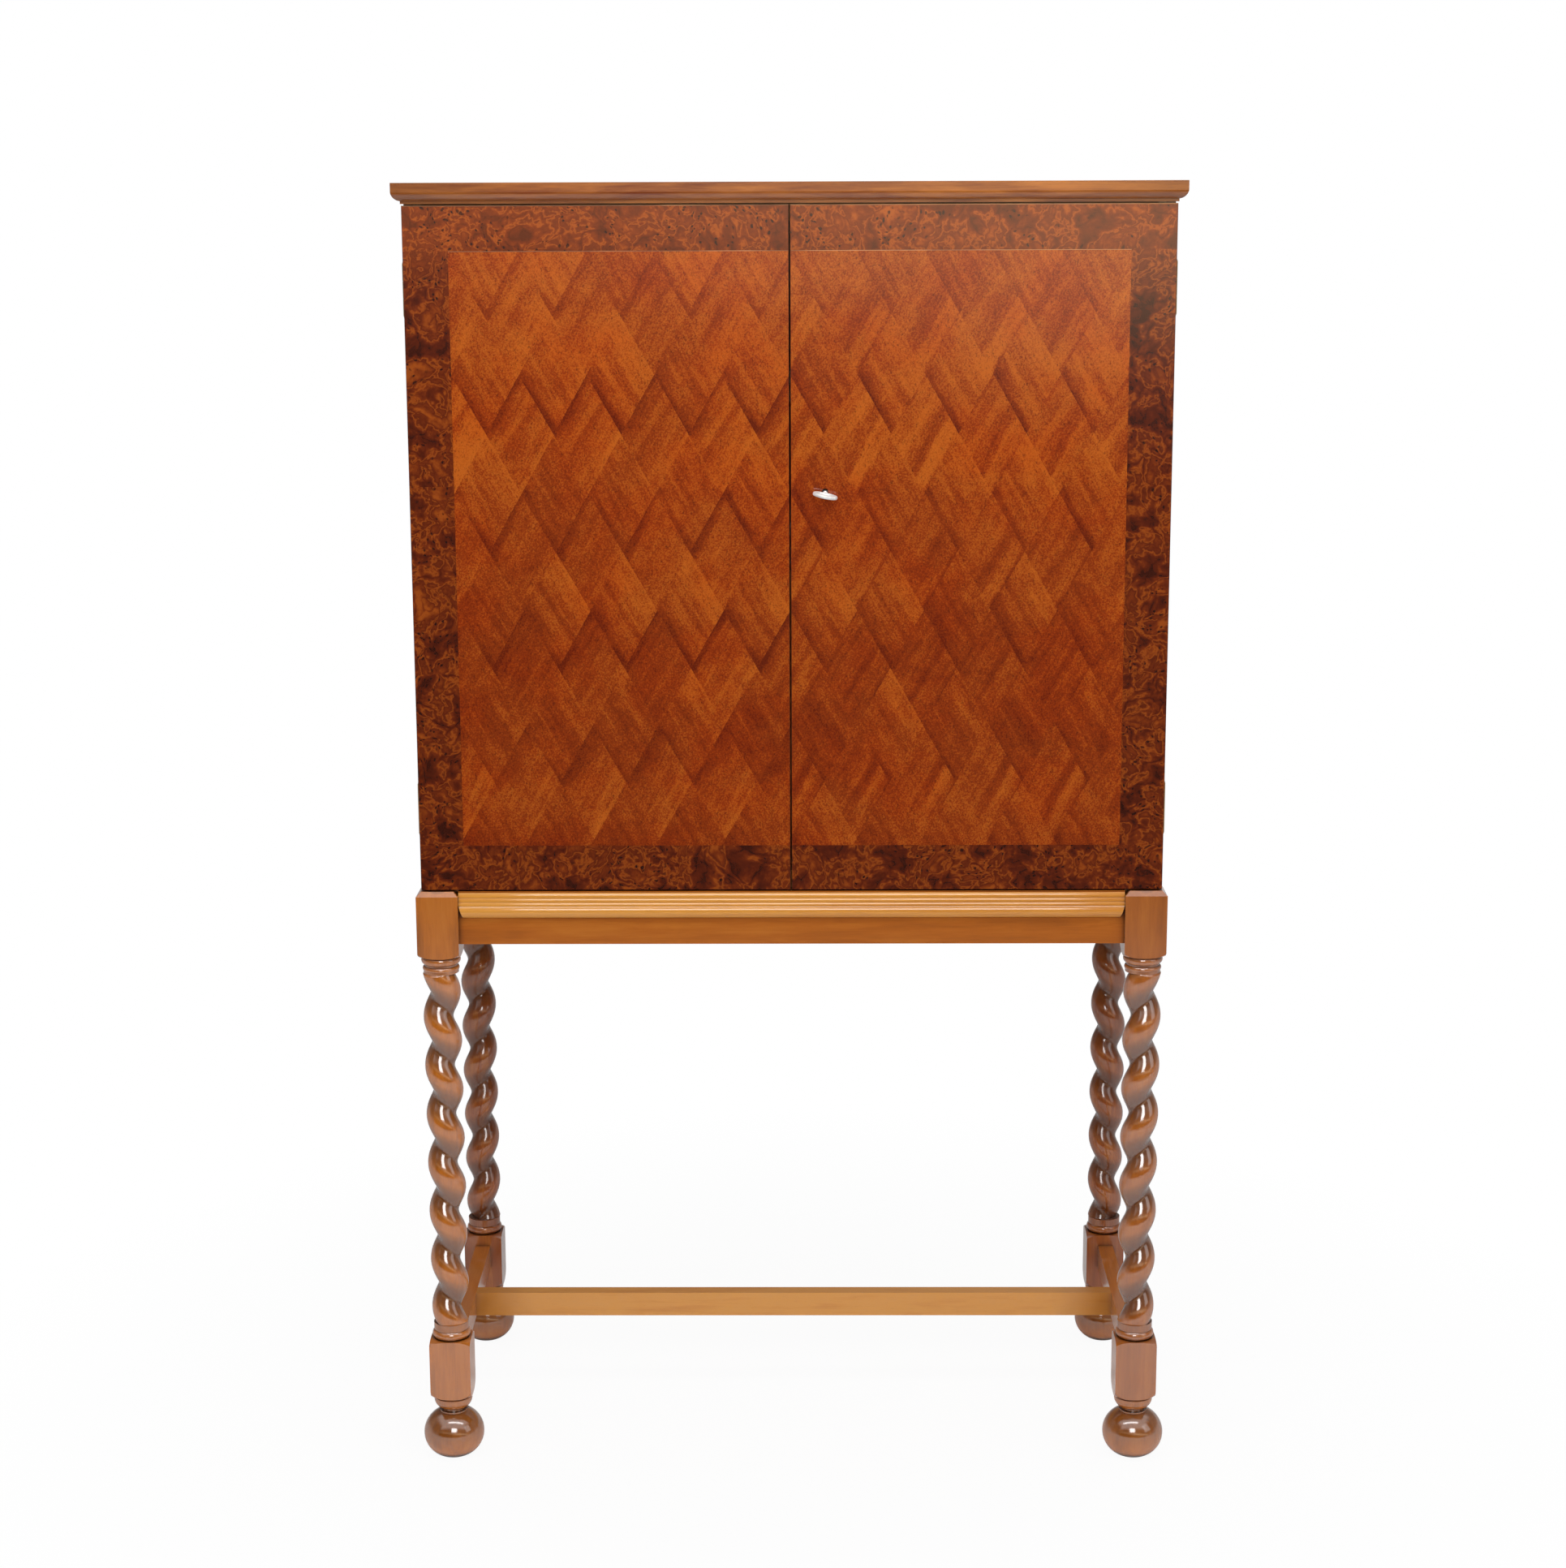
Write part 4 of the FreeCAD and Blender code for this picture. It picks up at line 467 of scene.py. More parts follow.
def deep_stain_and_shade(finish, place):
    """More stain and painted shade where a leg's turning is thin, by the distance from the leg's axis."""
    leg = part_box("leg_front_right")
    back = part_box("leg_back_right")
    leg_x = (leg[0].x + leg[1].x) / 2
    middle_y = ((leg[0].y + leg[1].y) + (back[0].y + back[1].y)) / 4
    reach_y = (back[0].y + back[1].y) / 2 - middle_y
    spot = finish.parts(place)
    from_x = finish.sum("SUBTRACT", finish.sum("ABSOLUTE", spot["X"], 0), leg_x)
    from_y = finish.sum(
        "SUBTRACT", finish.sum("ABSOLUTE", finish.sum("SUBTRACT", spot["Y"], middle_y), 0), reach_y
    )
    # At a share of 1 the spot is one half of the post's width, 25 mm, from the axis.
    share = finish.sum("MULTIPLY", finish.span(finish.point(from_x, from_y, 0.0)), 40.0)
    return finish.ramp(share, [(0.54, 0.80), (0.76, 0.55), (0.84, 0.3), (0.89, 0.0)])


def back_leg_stain_and_shadow(finish, place):
    """The back legs' stain and painted shade: that of the front ones, and a painted shadow that darkens them
    towards the top, under the case.
    """
    height = finish.parts(place)["Z"]
    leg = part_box("leg_back_right")
    shadow_under_case = finish.ramp(finish.sum("DIVIDE", height, leg[1].z), [(0.35, 0.0), (0.9, 0.4)])
    return finish.sum("MAXIMUM", deep_stain_and_shade(finish, place), shadow_under_case)


def foot_painted_shade(finish, place):
    """Painted shade on the shoulders of the feet; lower down, near the white floor that lights them, they
    stay paler.
    """
    height = finish.parts(place)["Z"]
    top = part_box("bun_foot_front_left")[1].z
    share = finish.sum("DIVIDE", height, top)
    return finish.ramp(share, [(0.16, 0.0), (0.36, 0.46), (0.53, 0.62), (0.58, 0.1)])


def seam_darkening(finish, place):
    """Stretches where the pale seam and the painted highlight on the top arris are darker, most of them at
    the left.
    """
    across = finish.sum("MULTIPLY", finish.parts(place)["X"], 0.8)
    return finish.ramp(finish.sum("ADD", across, finish.noise(place, 14, 2)), [(0.42, 0.9), (0.56, 0.1)])


def end_stain(node, start, share):
    """More stain near the two ends of a long piece."""
    def stain(finish, place):
        reach = finish.sum("DIVIDE", finish.sum("ABSOLUTE", finish.parts(place)["X"], 0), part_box(node)[1].x)
        uneven = finish.sum("ADD", reach, finish.sum("MULTIPLY", finish.noise(place, 30, 2), 0.06))
        return finish.ramp(uneven, [(start, 0.0), (0.98, share)])
    return stain


def metal_finish(name, tint, roughness, brushed=0.15, metallic=1.0):
    """Metal with faint clouding and fine scratches."""
    finish = Finish(name, roughness, metallic=metallic)
    place = finish.place()
    clouds = finish.noise(place, 160, 3, 0.6)
    scratches = finish.noise(finish.stretched(place, (1, 1, 0.05)), 2600, 2, 0.6)
    dull = tuple(part * 0.72 for part in tint)
    colour_made = finish.mix(finish.ramp(clouds, [(0.35, 0.0), (0.75, 1.0)]), tuple(tint), dull)
    gloss = finish.ramp(scratches, [(0.3, roughness * (1 - brushed)), (0.7, roughness * (1 + brushed))])
    return finish.finished(colour_made, roughness=gloss, height=scratches, depth=0.00005, strength=0.15)


def glass_finish():
    """Plate glass with a faint green in it."""
    finish = Finish("shelf_glass", 0.02)
    finish.surface.inputs["Transmission Weight"].default_value = 1.0
    finish.surface.inputs["IOR"].default_value = 1.5
    clouds = finish.noise(finish.place(), 6, 2)
    return finish.finished(finish.ramp(clouds, [(0.3, (0.80, 0.93, 0.88)), (0.7, (0.86, 0.95, 0.92))]))


def mirror_finish():
    """Old silvered glass, a little clouded."""
    finish = Finish("mirror_glass", 0.06, metallic=0.6)
    silver = finish.noise(finish.place(), 5, 3)
    return finish.finished(finish.ramp(silver, [(0.3, (0.80, 0.83, 0.84)), (0.7, (0.86, 0.88, 0.89))]))


# Marquetry


def clipped(outline, axis, limit, keep_over):
    """Cut a flat outline along a line, and keep the part on one side."""
    kept = []
    for here, there in zip(outline, outline[1:] + outline[:1]):
        inside = (here[axis] >= limit) == keep_over or here[axis] == limit
        crosses = (here[axis] - limit) * (there[axis] - limit) < 0
        if inside:
            kept.append(here)
        if crosses:
            part = (limit - here[axis]) / (there[axis] - here[axis])
            kept.append(tuple(a + (b - a) * part for a, b in zip(here, there)))
    return kept


def inside_of(outline, low, high):
    """The part of an outline that lies between two corners."""
    for axis in (0, 1):
        for limit, over in ((low[axis], True), (high[axis], False)):
            if len(outline) >= 3:
                outline = clipped(outline, axis, limit, over)
    return outline if len(outline) >= 3 else []


class Sheet:
    """A veneer sheet under way: flat pieces in one plane, each with its own grain."""

    def __init__(self, depth):
        self.mesh = bmesh.new()
        self.grain = self.mesh.loops.layers.uv.new("grain")
        self.leaf = self.mesh.faces.layers.float.new("leaf")
        self.tone = self.mesh.faces.layers.float.new("tone")
        self.bright = self.mesh.faces.layers.float.new("bright")
        self.depth = depth

    def lay(self, outline, material, origin, along, leaf, tone, bright=0.0):
        """Lay one piece, with its grain along a direction from its own origin."""
        corners = [self.mesh.verts.new((x, self.depth, z)) for x, z in outline]
        face = self.mesh.faces.new(corners)
        across = (along[1], -along[0])
        for loop, (x, z) in zip(face.loops, outline):
            reach = (x - origin[0], z - origin[1])
            loop[self.grain].uv = (
                abs(reach[0] * across[0] + reach[1] * across[1]),
                reach[0] * along[0] + reach[1] * along[1],
            )
        face.material_index = material
        face[self.leaf] = leaf
        face[self.tone] = tone
        face[self.bright] = bright
        return face


RIBBON, BURL, LIPPING, PALE_SEAM_AND_HIGHLIGHT = range(4)
# How far a row's shade and a piece's shade stray, and how far apart the figures of two rows lie
ROW_TONE = 0.015
PIECE_TONE = 0.022
LEAF_STEP = 0.37


def parquetry(sheet, look, low, high, chance, bright):
    """Two interleaved sets of lozenges: one leaning left, one leaning right."""
    half_x = look.lozenge_width / 2
    half_z = look.lozenge_height / 2
    size = math.hypot(half_x, half_z)
    left_lean = (-half_x / size, half_z / size)
    right_lean = (half_x / size, half_z / size)
    rows = int((look.first_row - low[1]) / half_z) + 2
    columns = int(max(abs(low[0]), abs(high[0])) / look.lozenge_width) + 2
    for row in range(-1, rows):
        middle_z = look.first_row - row * half_z
        leans_left = row % 2 == 0
        shift = half_x if leans_left else 0.0
        row_tone = chance.uniform(-ROW_TONE, ROW_TONE)
        for column in range(-columns, columns + 1):
            middle_x = column * look.lozenge_width + shift
            lozenge = [
                (middle_x, middle_z - half_z), (middle_x + half_x, middle_z),
                (middle_x, middle_z + half_z), (middle_x - half_x, middle_z),
            ]
            piece = inside_of(lozenge, low, high)
            tone = row_tone + chance.uniform(-PIECE_TONE, PIECE_TONE)
            if not piece:
                continue
            # Across is counted from the dark lower left edge, or from the dark upper left one.
            origin = (middle_x - half_x, middle_z)
            along = left_lean if leans_left else right_lean
            sheet.lay(piece, RIBBON, origin, along, row * LEAF_STEP, tone, 0.0 if leans_left else bright)


def burl_bands(sheet, look, low, high, field_low, field_high, outer_right, chance):
    """Bands of burl at the top, the foot and the outer side, the side one in several leaves."""
    upright = (0.0, 1.0)
    sheet.lay(
        rectangle((low[0], field_high[1] + look.seam), high), BURL, low, upright, chance.random(), 0.0
    )
    sheet.lay(rectangle((low[0], low[1]), (high[0], field_low[1])), BURL, low, upright, chance.random(), 0.0)
    sheet.lay(
        rectangle((field_low[0], field_high[1]), (field_high[0], field_high[1] + look.seam)),
        PALE_SEAM_AND_HIGHLIGHT, low, upright, 0.0, 0.0,
    )
    side = (field_high[0], high[0]) if outer_right else (low[0], field_low[0])
    joints = [field_low[1], *BURL_JOINTS, field_high[1] + look.seam]
    for foot, head in zip(joints, joints[1:]):
        sheet.lay(rectangle((side[0], foot), (side[1], head)), BURL, low, upright, chance.random(), 0.0)


def rectangle(low, high):
    return [(low[0], low[1]), (high[0], low[1]), (high[0], high[1]), (low[0], high[1])]


def sheet_edges(sheet, low, high, inner_low, inner_high, front, back):
    """The eased front arris, the edges and the back of a veneer sheet."""
    def ring(corner_low, corner_high, depth):
        return [sheet.mesh.verts.new((x, depth, z)) for x, z in rectangle(corner_low, corner_high)]

    eased = ring(inner_low, inner_high, front)
    arris = ring(low, high, front + (inner_low[0] - low[0]))
    rear = ring(low, high, back)
    for first, second in ((eased, arris), (arris, rear)):
        for index in range(4):
            follow = (index + 1) % 4
            face = sheet.mesh.faces.new((first[index], second[index], second[follow], first[follow]))
            # The arris along the top gets the pale seam finish: a painted highlight where that edge catches
            # the light.
            face.material_index = PALE_SEAM_AND_HIGHLIGHT if first is eased and index == 2 else LIPPING
    sheet.mesh.faces.new(rear).material_index = LIPPING


def keyhole_cutter(centre, radius, slot, drop, reach):
    """A round hole with a slot below it."""
    mesh = bmesh.new()
    ring = []
    half = slot / 2
    start = math.asin(half / radius)
    steps = 24
    for step in range(steps + 1):
        angle = -math.pi / 2 + start + (2 * math.pi - 2 * start) * step / steps
        ring.append((centre[0] + radius * math.cos(angle), centre[1] + radius * math.sin(angle)))
    ring += [(centre[0] - half, centre[1] - drop), (centre[0] + half, centre[1] - drop)]
    front = [mesh.verts.new((x, reach[0], z)) for x, z in ring]
    back = [mesh.verts.new((x, reach[1], z)) for x, z in ring]
    mesh.faces.new(front)
    mesh.faces.new(back[::-1])
    for index in range(len(ring)):
        follow = (index + 1) % len(ring)
        mesh.faces.new((front[index], back[index], back[follow], front[follow]))
    bmesh.ops.recalc_face_normals(mesh, faces=mesh.faces)
    return new_object("keyhole_cutter", mesh)


def new_object(name, mesh, smooth=False):
    data = bpy.data.meshes.new(name)
    mesh.to_mesh(data)
    mesh.free()
    if smooth:
        data.shade_smooth()
    made = bpy.data.objects.new(name, data)
    bpy.context.scene.collection.objects.link(made)
    return made


def apply_modifiers(piece):
    """Keep what the modifiers make, as the mesh itself."""
    depsgraph = bpy.context.evaluated_depsgraph_get()
    made = bpy.data.meshes.new_from_object(piece.evaluated_get(depsgraph))
    piece.modifiers.clear()
    piece.data = made


def door_marquetry(side, look, materials):
    """One door's face: a parquetry field, burl bands and an eased edge."""
    node = f"door_{side}_veneer"
    box_low, box_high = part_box(node)
    front, back = box_low.y, box_high.y
    low, high = (box_low.x, box_low.z), (box_high.x, box_high.z)
    inner_low = (low[0] + ARRIS, low[1] + ARRIS)
    inner_high = (high[0] - ARRIS, high[1] - TOP_ARRIS * ARRIS)
    outer_right = side == "right"
    field_low = (inner_low[0], low[1] + look.lower_band)
    field_high = (high[0] - look.band_width, high[1] - look.band_width)
    if not outer_right:
        field_low = (low[0] + look.band_width, field_low[1])
        field_high = (inner_high[0], field_high[1])
    chance = random.Random(look.seed)
    sheet = Sheet(front)
    parquetry(sheet, look, field_low, field_high, chance, 1.0 if outer_right else 0.0)
    chance = random.Random(look.seed + (1 if outer_right else 2))
    burl_bands(sheet, look, inner_low, inner_high, field_low, field_high, outer_right, chance)
    sheet_edges(sheet, low, high, inner_low, inner_high, front, back)
    bmesh.ops.remove_doubles(sheet.mesh, verts=sheet.mesh.verts, dist=2e-6)
    bmesh.ops.recalc_face_normals(sheet.mesh, faces=sheet.mesh.faces)
    piece = new_object(f"{side}_door_marquetry", sheet.mesh)
    for material in materials:
        piece.data.materials.append(material)
    if outer_right:
        through = (front - 4 * MM, back + 4 * MM)
        cutter = keyhole_cutter(KEY_SPOT, KEYHOLE_RADIUS, KEYHOLE_SLOT, KEYHOLE_DROP, through)
        cut = piece.modifiers.new("keyhole", "BOOLEAN")
        cut.object = cutter
        cut.solver = "EXACT"
        apply_modifiers(piece)
        bpy.data.objects.remove(cutter)
    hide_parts(node)
    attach(piece, f"{side}_door")
    return piece


# Key


def turned_part(mesh, profile, matrix, steps=32):
    """A turned part about the Y axis from pairs of a place along it and a radius."""
    rings = []
    for place, radius in profile:
        ring = []
        for step in range(steps):
            angle = 2 * math.pi * step / steps
            spot = Vector((radius * math.cos(angle), place, radius * math.sin(angle)))
            ring.append(mesh.verts.new(matrix @ spot))
        rings.append(ring)
    for first, second in zip(rings, rings[1:]):
        for index in range(steps):
            follow = (index + 1) % steps
            mesh.faces.new((first[index], first[follow], second[follow], second[index]))
    mesh.faces.new(rings[0])
    mesh.faces.new(rings[-1][::-1])


def flattened(share):
    """Push a circle's sine or cosine out, so that the section has fuller corners."""
    return math.copysign(abs(share) ** 0.7, share)


def bow_ring(mesh, half_x, half_y, rim, thickness, centre_y, matrix):
    """The key's bow: an oval loop with a flattened round section."""
    around, about = 56, 14
    rings = []
    for step in range(around):
        angle = 2 * math.pi * step / around
        ring = []
        for part in range(about):
            turn = 2 * math.pi * part / about
            out = flattened(math.cos(turn)) * rim / 2
            up = flattened(math.sin(turn)) * thickness / 2
            spot = Vector((
                (half_x - rim / 2 + out) * math.cos(angle),
                centre_y + (half_y - rim / 2 + out) * math.sin(angle),
                up,
            ))
            ring.append(mesh.verts.new(matrix @ spot))
        rings.append(ring)
    for index, ring in enumerate(rings):
        after = rings[(index + 1) % around]
        for part in range(about):
            follow = (part + 1) % about
            mesh.faces.new((ring[part], ring[follow], after[follow], after[part]))


def cabinet_key(look, nickel):
    """The key: an oval bow, a collar, a round shaft and a plain block for its bit."""
    lean = Matrix.Rotation(math.radians(4), 4, "X") @ Matrix.Rotation(math.radians(12), 4, "Y")
    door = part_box("door_right_veneer")[0].y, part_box("door_right")[1].y
    pivot = Vector((KEY_SPOT[0], (door[0] + door[1]) / 2, KEY_SPOT[1]))
    matrix = Matrix.Translation(pivot) @ lean
    mesh = bmesh.new()
    bow_ring(
        mesh, look.bow_width / 2, look.bow_depth / 2, BOW_RIM, look.bow_thickness,
        -(KEY_REACH - look.bow_depth / 2), matrix,
    )
    # The collar starts where the bow ends, and the shaft runs on to the tip. All in millimetres.
    start = -(KEY_REACH - look.bow_depth) / MM
    profile = [
        (start - 3.4, 1.2), (start - 2.0, 2.1), (start - 0.2, 2.3), (start, 2.8), (start + 0.4, 3.1),
        (start + 2.4, 3.1), (start + 2.8, 2.8), (start + 3.0, 2.4), (start + 4.4, 2.2),
        (7.9, 2.2), (8.2, 1.8),
    ]
    turned_part(mesh, [(place * MM, radius * MM) for place, radius in profile], matrix)
    bit = bmesh.ops.create_cube(mesh, size=1.0)["verts"]
    for vert in bit:
        spot = Vector(middle + part * size for middle, part, size in zip(BIT_CENTRE, vert.co, BIT_SIZE))
        vert.co = matrix @ (spot * MM)
    bmesh.ops.recalc_face_normals(mesh, faces=mesh.faces)
    piece = new_object("cabinet_key", mesh, smooth=True)
    soften = piece.modifiers.new("soften", "BEVEL")
    soften.width = 0.25 * MM
    soften.segments = 2
    soften.limit_method = "ANGLE"
    soften.angle_limit = math.radians(50)
    apply_modifiers(piece)
    piece.data.materials.append(nickel)
    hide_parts("key")
    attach(piece, "key")
    return piece


# Studio


def pale_floor(radius):
    """A white floor that keeps the cabinet's shadow near it and fades into the background."""
    mesh = bmesh.new()
    bmesh.ops.create_circle(mesh, cap_ends=True, segments=96, radius=radius)
    floor = new_object("studio_floor", mesh)
    floor.location.z = -0.0005
    finish = Finish("studio_floor", 0.9)
    finish.surface.inputs["Specular IOR Level"].default_value = 0.0
    nodes, links = finish.tree.nodes, finish.tree.links
    clouds = finish.noise(finish.place(), 2.0, 2)
    tint = finish.ramp(clouds, [(0.3, (0.93, 0.93, 0.925)), (0.7, (0.95, 0.95, 0.945))])
    links.new(tint, finish.surface.inputs["Base Color"])
    glow = finish.node("ShaderNodeEmission", Strength=1.0)
    glow.inputs["Color"].default_value = (1, 1, 1, 1)
    spot = finish.parts(finish.place())
    away = finish.span(finish.point(spot["X"], spot["Y"], 0.0))
    fade = finish.ramp(finish.sum("DIVIDE", away, 4.0), [(0.11, 0.94), (0.30, 1.0)])
    seen = finish.sum("MULTIPLY", fade, finish.node("ShaderNodeLightPath").outputs["Is Camera Ray"])
    blend = nodes.new("ShaderNodeMixShader")
    links.new(seen, blend.inputs[0])
    links.new(finish.surface.outputs[0], blend.inputs[1])
    links.new(glow.outputs[0], blend.inputs[2])
    links.new(blend.outputs[0], nodes["Material Output"].inputs["Surface"])
    floor.data.materials.append(finish.material)


def reflection_card(name, size, place, pitch, glow, fade, turn=0, tilt=0.0):
    """A card seen only in reflections, which keeps the lacquer deep in colour.

    The glow is its colour up its length, and the fade how solid it is up its length.
    """
    mesh = bmesh.new()
    bmesh.ops.create_grid(mesh, x_segments=1, y_segments=1, size=0.5)
    card = new_object(name, mesh)
    card.scale = (*size, 1.0)
    card.location = place
    card.rotation_euler = (math.radians(pitch), 0, math.radians(turn))
    finish = Finish(name, 1.0)
    finish.surface.inputs["Specular IOR Level"].default_value = 0.0
    finish.surface.inputs["Base Color"].default_value = (0, 0, 0, 1)
    # X and Y run from -0.5 to 0.5 over the card. The tilt makes the right side glow from lower down.
    spot = finish.parts(finish.place())
    cloud = finish.sum("MULTIPLY", finish.noise(finish.place(), 12.0, 2), 0.03)
    up = finish.sum("ADD", finish.sum("ADD", spot["Y"], 0.485), cloud)
    level = finish.ramp(finish.sum("ADD", up, finish.sum("MULTIPLY", spot["X"], tilt)), glow)
    power = finish.ramp(finish.sum("ADD", spot["X"], 0.5), [(0.45, 0.7), (0.55, 1.5)])
    finish.tree.links.new(power, finish.surface.inputs["Emission Strength"])
    finish.tree.links.new(level, finish.surface.inputs["Emission Color"])
    finish.tree.links.new(finish.ramp(up, fade), finish.surface.inputs["Alpha"])
    card.data.materials.append(finish.material)
    card.visible_camera = False
    card.visible_diffuse = False
    card.visible_shadow = False
    card.visible_transmission = False


def white_world():
    """White where it is seen, mirrored or seen through glass, and a softer light on everything."""
    world = bpy.data.worlds.new("studio_world")
    bpy.context.scene.world = world
    world.use_nodes = True
    nodes, links = world.node_tree.nodes, world.node_tree.links
    seen = nodes["Background"]
    seen.inputs["Color"].default_value = (1, 1, 1, 1)
    seen.inputs["Strength"].default_value = 1.0
    lighting = nodes.new("ShaderNodeBackground")
    lighting.inputs["Color"].default_value = (0.97, 0.985, 1, 1)
    lighting.inputs["Strength"].default_value = 0.48
    path = nodes.new("ShaderNodeLightPath")
    first = nodes.new("ShaderNodeMath")
    first.operation = "MAXIMUM"
    links.new(path.outputs["Is Camera Ray"], first.inputs[0])
    links.new(path.outputs["Is Glossy Ray"], first.inputs[1])
    second = nodes.new("ShaderNodeMath")
    second.operation = "MAXIMUM"
    links.new(first.outputs[0], second.inputs[0])
    links.new(path.outputs["Is Transmission Ray"], second.inputs[1])
    blend = nodes.new("ShaderNodeMixShader")
    links.new(second.outputs[0], blend.inputs[0])
    links.new(lighting.outputs[0], blend.inputs[1])
    links.new(seen.outputs[0], blend.inputs[2])
    links.new(blend.outputs[0], nodes["World Output"].inputs["Surface"])


def lamp(name, place, target, size, power):
    """A soft lamp that points at a spot."""
    data = bpy.data.lights.new(name, "AREA")
    data.shape = "RECTANGLE"
    data.size, data.size_y = size
    data.energy = power
    made = bpy.data.objects.new(name, data)
    made.location = place
    made.rotation_euler = (Vector(target) - Vector(place)).to_track_quat("-Z", "Y").to_euler()
    bpy.context.scene.collection.objects.link(made)


def studio_camera(studio):
    """The camera, where the photographer's stood."""
    data = bpy.data.cameras.new("photo_camera")
    data.lens = studio.lens
    data.sensor_width = 36.0
    data.sensor_height = 36.0
    data.sensor_fit = "AUTO"
    data.clip_end = 200
    made = bpy.data.objects.new("photo_camera", data)
    turn = Matrix.Rotation(studio.camera_turn, 4, "Z")
    pitch = Matrix.Rotation(studio.camera_pitch, 4, "X")
    roll = Matrix.Rotation(studio.camera_roll, 4, "Z")
    made.matrix_world = Matrix.Translation(studio.camera_place) @ turn @ pitch @ roll
    bpy.context.scene.collection.objects.link(made)
    bpy.context.scene.camera = made


# Operators


def dress(prefixes, material):
    """Give a finish to each CAD node whose name starts with one of some words."""
    for name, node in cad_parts.items():
        if name.startswith(prefixes):
            for slot in node.material_slots:
                slot.material = material


class CABINET_OT_marquetry(bpy.types.Operator):
    """Lay the parquetry and the burl bands on both doors"""

    bl_idname = "cabinet.marquetry"
    bl_label = "Door Marquetry"

    def execute(self, context):
        look = context.scene.cabinet_marquetry
        woods = context.scene.cabinet_woods
        materials = [
            ribbon_finish(look),
            burl_finish(look),
            wood_finish("door_lipping", woods.case_dark, woods.lipping, "z"),
            # The pale seam finish also paints the highlight along the top arris of each door's veneer.
            wood_finish("pale_seam_and_highlight", woods.inside_light, woods.inside_dark, "x", 0.75, 0.0, stain_and_shade=seam_darkening),
        ]
        for side in ("left", "right"):
            door_marquetry(side, look, materials)
        return {"FINISHED"}


class CABINET_OT_key(bpy.types.Operator):
    """Make the nickel key that stands in the right door"""

    bl_idname = "cabinet.key"
    bl_label = "Key"

    def execute(self, context):
        look = context.scene.cabinet_metals
        # Partly painted sheen: the key is only a little metallic, so its near-white plating shows as if
        # bright light were reflected in it.
        cabinet_key(look, metal_finish("nickel_plate", look.nickel, 0.4, 0.3, metallic=0.3))
        return {"FINISHED"}


class CABINET_OT_case(bpy.types.Operator):
    """Finish the case, its top and its inside"""

    bl_idname = "cabinet.case"
    bl_label = "Case Finishes"

    def execute(self, context):
        woods = context.scene.cabinet_woods
        top = wood_finish(
            "top_mahogany", woods.top_light, woods.top_dark, "x", figure=0.55, spread=0.12,
            stain_and_shade=end_stain("top_board", 0.72, 0.42), coat_roughness=0.11,
        )
        dress(("top_board",), top)
        inside = woods.inside_light, woods.inside_dark
        sides = wood_finish(
            "side_mahogany", woods.case_light, woods.case_dark, "z", inside=inside, coat_roughness=0.12
        )
        dress(("case_side",), sides)
        doors = wood_finish("door_mahogany", woods.case_light, woods.case_dark, "z")
        dress(("door_left", "door_right"), doors)
        shelves = wood_finish("inside_shelf_wood", *inside, "x", coat=0.3)
        dress(("case_top", "case_bottom", "fixed_shelf", "low_shelf"), shelves)
        dress(("partition", "back_panel"), wood_finish("inside_upright_wood", *inside, "z", coat=0.2))
        dress(("batten",), wood_finish("batten_wood", *inside, "y", gloss=0.6, coat=0.0))
        dress(("glass_shelf",), glass_finish())
        dress(("mirror",), mirror_finish())
        return {"FINISHED"}


class CABINET_OT_stand(bpy.types.Operator):
    """Finish the legs, feet, aprons, mouldings and stretchers"""

    bl_idname = "cabinet.stand"
    bl_label = "Stand Finishes"

    def execute(self, context):
        woods = context.scene.cabinet_woods
        shades = woods.stand_light, woods.stand_dark
        plain = {"middle": woods.stand_middle, "spread": 0.34}
        # The corners setting is the strength of the painted shade in corners and grooves.
        plain.update(corners=0.85, coat_roughness=0.13, shine=2.2)
        dress(("leg_front_left",), wood_finish("front_leg_wood", *shades, "z", stain_and_shade=deep_stain_and_shade, **plain))
        dress(("bun_foot",), wood_finish("foot_wood", *shades, "z", ratio=5.0, stain_and_shade=foot_painted_shade, **plain))
        # The right front leg gets a darker copy of the leg finish: painted shade, as if less light fell on
        # that side.
        shaded_right = dict(plain, middle=woods.shaded_right_leg, spread=0.4)
        dress(("leg_front_right",), wood_finish("right_leg_wood", *shades, "z", stain_and_shade=deep_stain_and_shade, **shaded_right))
        # The back legs get a darker copy of the leg finish: painted shade from the case above them.
        shaded = dict(plain, middle=woods.shaded_back_leg, spread=0.3, shine=1.8)
        dress(("leg_back",), wood_finish("back_leg_wood", *shades, "z", stain_and_shade=back_leg_stain_and_shadow, **shaded))
        rails = wood_finish(
            "rail_wood", woods.stand_light, woods.stand_dark, "x", middle=woods.rail, spread=0.4,
            corners=1.0, shine=1.6,
        )
        dress(("apron_front", "apron_back"), rails)
        # Partly painted light: the cross stretcher is paler than the side stretchers, as if lit by the white
        # floor and the lamps.
        pale = wood_finish(
            "stretcher_wood", woods.moulding, woods.stand_middle, "x", middle=woods.stretcher, spread=0.26,
            stain_and_shade=end_stain("stretcher_cross", 0.82, 0.5), corners=0.6, coat_roughness=0.22,
        )
        dress(("stretcher_cross",), pale)
        beaded = wood_finish(
            "moulding_wood", woods.moulding, woods.rail, "x", middle=woods.stretcher, spread=0.2,
            coat=0.75, figure=0.8, ratio=16.0, corners=0.8, coat_roughness=0.06, shine=1.7,
        )
        dress(("moulding_front",), beaded)
        sideways = wood_finish("side_rail_wood", *shades, "y", **plain)
        for kind in ("apron", "moulding", "stretcher"):
            dress((f"{kind}_left", f"{kind}_right"), sideways)
        return {"FINISHED"}


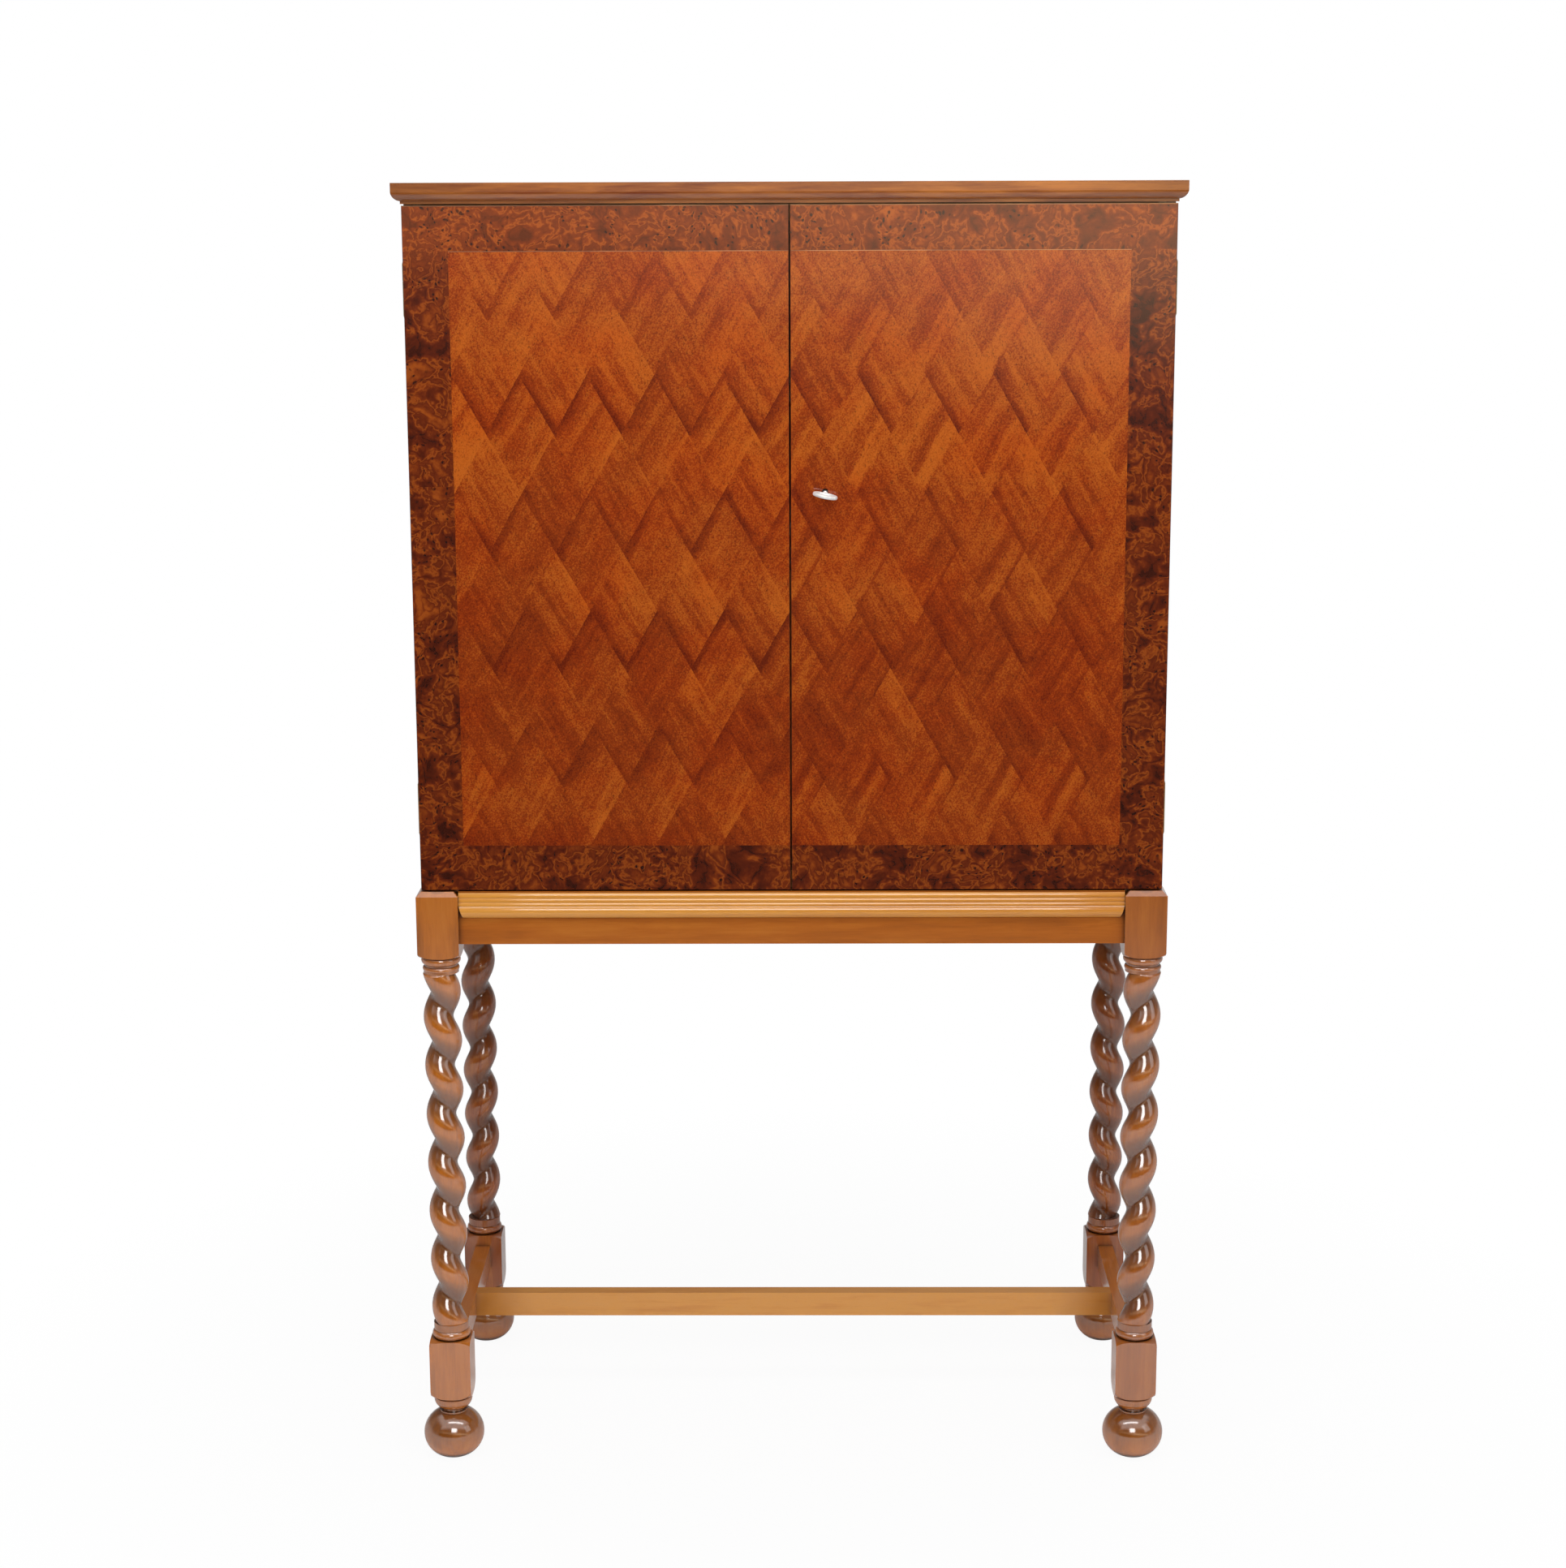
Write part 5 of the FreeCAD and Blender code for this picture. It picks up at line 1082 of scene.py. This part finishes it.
class CABINET_OT_metalwork(bpy.types.Operator):
    """Finish the hinges, bolts, keepers, screws and lock"""

    bl_idname = "cabinet.metalwork"
    bl_label = "Metal Finishes"

    def execute(self, context):
        look = context.scene.cabinet_metals
        brass = metal_finish("aged_brass", look.brass, 0.3)
        dress(("hinge_", "bolt_", "keeper_", "strike_plate", "lock_bolt", "shelf_pins"), brass)
        dress(("lock_case", "frame_screws"), metal_finish("plain_steel", look.steel, 0.4))
        return {"FINISHED"}


class CABINET_OT_studio(bpy.types.Operator):
    """Set up the pale floor, the soft lamps and the camera"""

    bl_idname = "cabinet.studio"
    bl_label = "Studio"

    def execute(self, context):
        studio = context.scene.cabinet_studio
        context.scene.view_settings.view_transform = "Standard"
        white_world()
        pale_floor(studio.floor_radius)
        dark, dim, bright = (0.012, 0.011, 0.010), (0.10, 0.09, 0.08), (0.80, 0.61, 0.40)
        glow = [(0.15, dark), (0.19, dim), (0.25, bright), (0.31, bright), (0.38, dim), (1.0, dim)]
        wall = [(0.6, 1.0), (0.98, 0.0)]
        reflection_card("studio_tall_card", (16.0, 6.0), (0, -5.4, 3.0), 90, glow, wall, tilt=0.35)
        soft = [(0.0, (0.5, 0.49, 0.48)), (0.18, (0.16, 0.15, 0.14))]
        reflection_card("studio_back_card", (16.0, 10.0), (0, 5.0, 5.0), 90, soft, wall)
        reflection_card("studio_left_card", (10.4, 10.0), (-8.0, -0.2, 5.0), 90, soft, wall, turn=90)
        reflection_card("studio_right_card", (10.4, 10.0), (8.0, -0.2, 5.0), 90, soft, wall, turn=90)
        plain = [(0.0, dark), (1.0, dark)]
        rug = [(0.55, 1.0), (0.9, 0.0)]
        reflection_card("studio_floor_card", (16.0, 4.4), (0, -3.2, 0.002), 0, plain, rug)
        lamp("front_softbox", (0.0, -3.9, 2.5), (0, 0, 0.8), (1.5, 1.4), 46)
        lamp("upper_strip", (0.0, -1.0, 2.3), (0, -0.2, 1.3), (2.2, 0.3), 12)
        lamp("right_fill", (2.8, -1.6, 1.8), (0, 0, 0.9), (1.4, 1.8), 8)
        studio_camera(studio)
        return {"FINISHED"}


STEPS = (
    CABINET_OT_studio,
    CABINET_OT_case,
    CABINET_OT_marquetry,
    CABINET_OT_key,
    CABINET_OT_metalwork,
    CABINET_OT_stand,
)


class CABINET_PT_steps(bpy.types.Panel):
    """Steps that dress the bar cabinet"""

    bl_label = "Bar Cabinet"
    bl_idname = "CABINET_PT_steps"
    bl_space_type = "VIEW_3D"
    bl_region_type = "UI"
    bl_category = "Cabinet"

    def draw(self, context):
        layout = self.layout
        for step in STEPS:
            layout.operator(step.bl_idname)
        for name in SETTINGS:
            group = getattr(context.scene, name)
            box = layout.box()
            for key in group.__annotations__:
                box.prop(group, key)


SETTINGS = {
    "cabinet_marquetry": CabinetMarquetry,
    "cabinet_woods": CabinetWoods,
    "cabinet_metals": CabinetMetals,
    "cabinet_studio": CabinetStudio,
}


def register():
    for kind in (*SETTINGS.values(), *STEPS, CABINET_PT_steps):
        bpy.utils.register_class(kind)
    for name, kind in SETTINGS.items():
        setattr(bpy.types.Scene, name, PointerProperty(type=kind))


def unregister():
    for name in SETTINGS:
        delattr(bpy.types.Scene, name)
    for kind in reversed((*SETTINGS.values(), *STEPS, CABINET_PT_steps)):
        bpy.utils.unregister_class(kind)


def main():
    register()
    for step in STEPS:
        area, word = step.bl_idname.split(".")
        getattr(getattr(bpy.ops, area), word)()


if __name__ == "__main__":
    main()
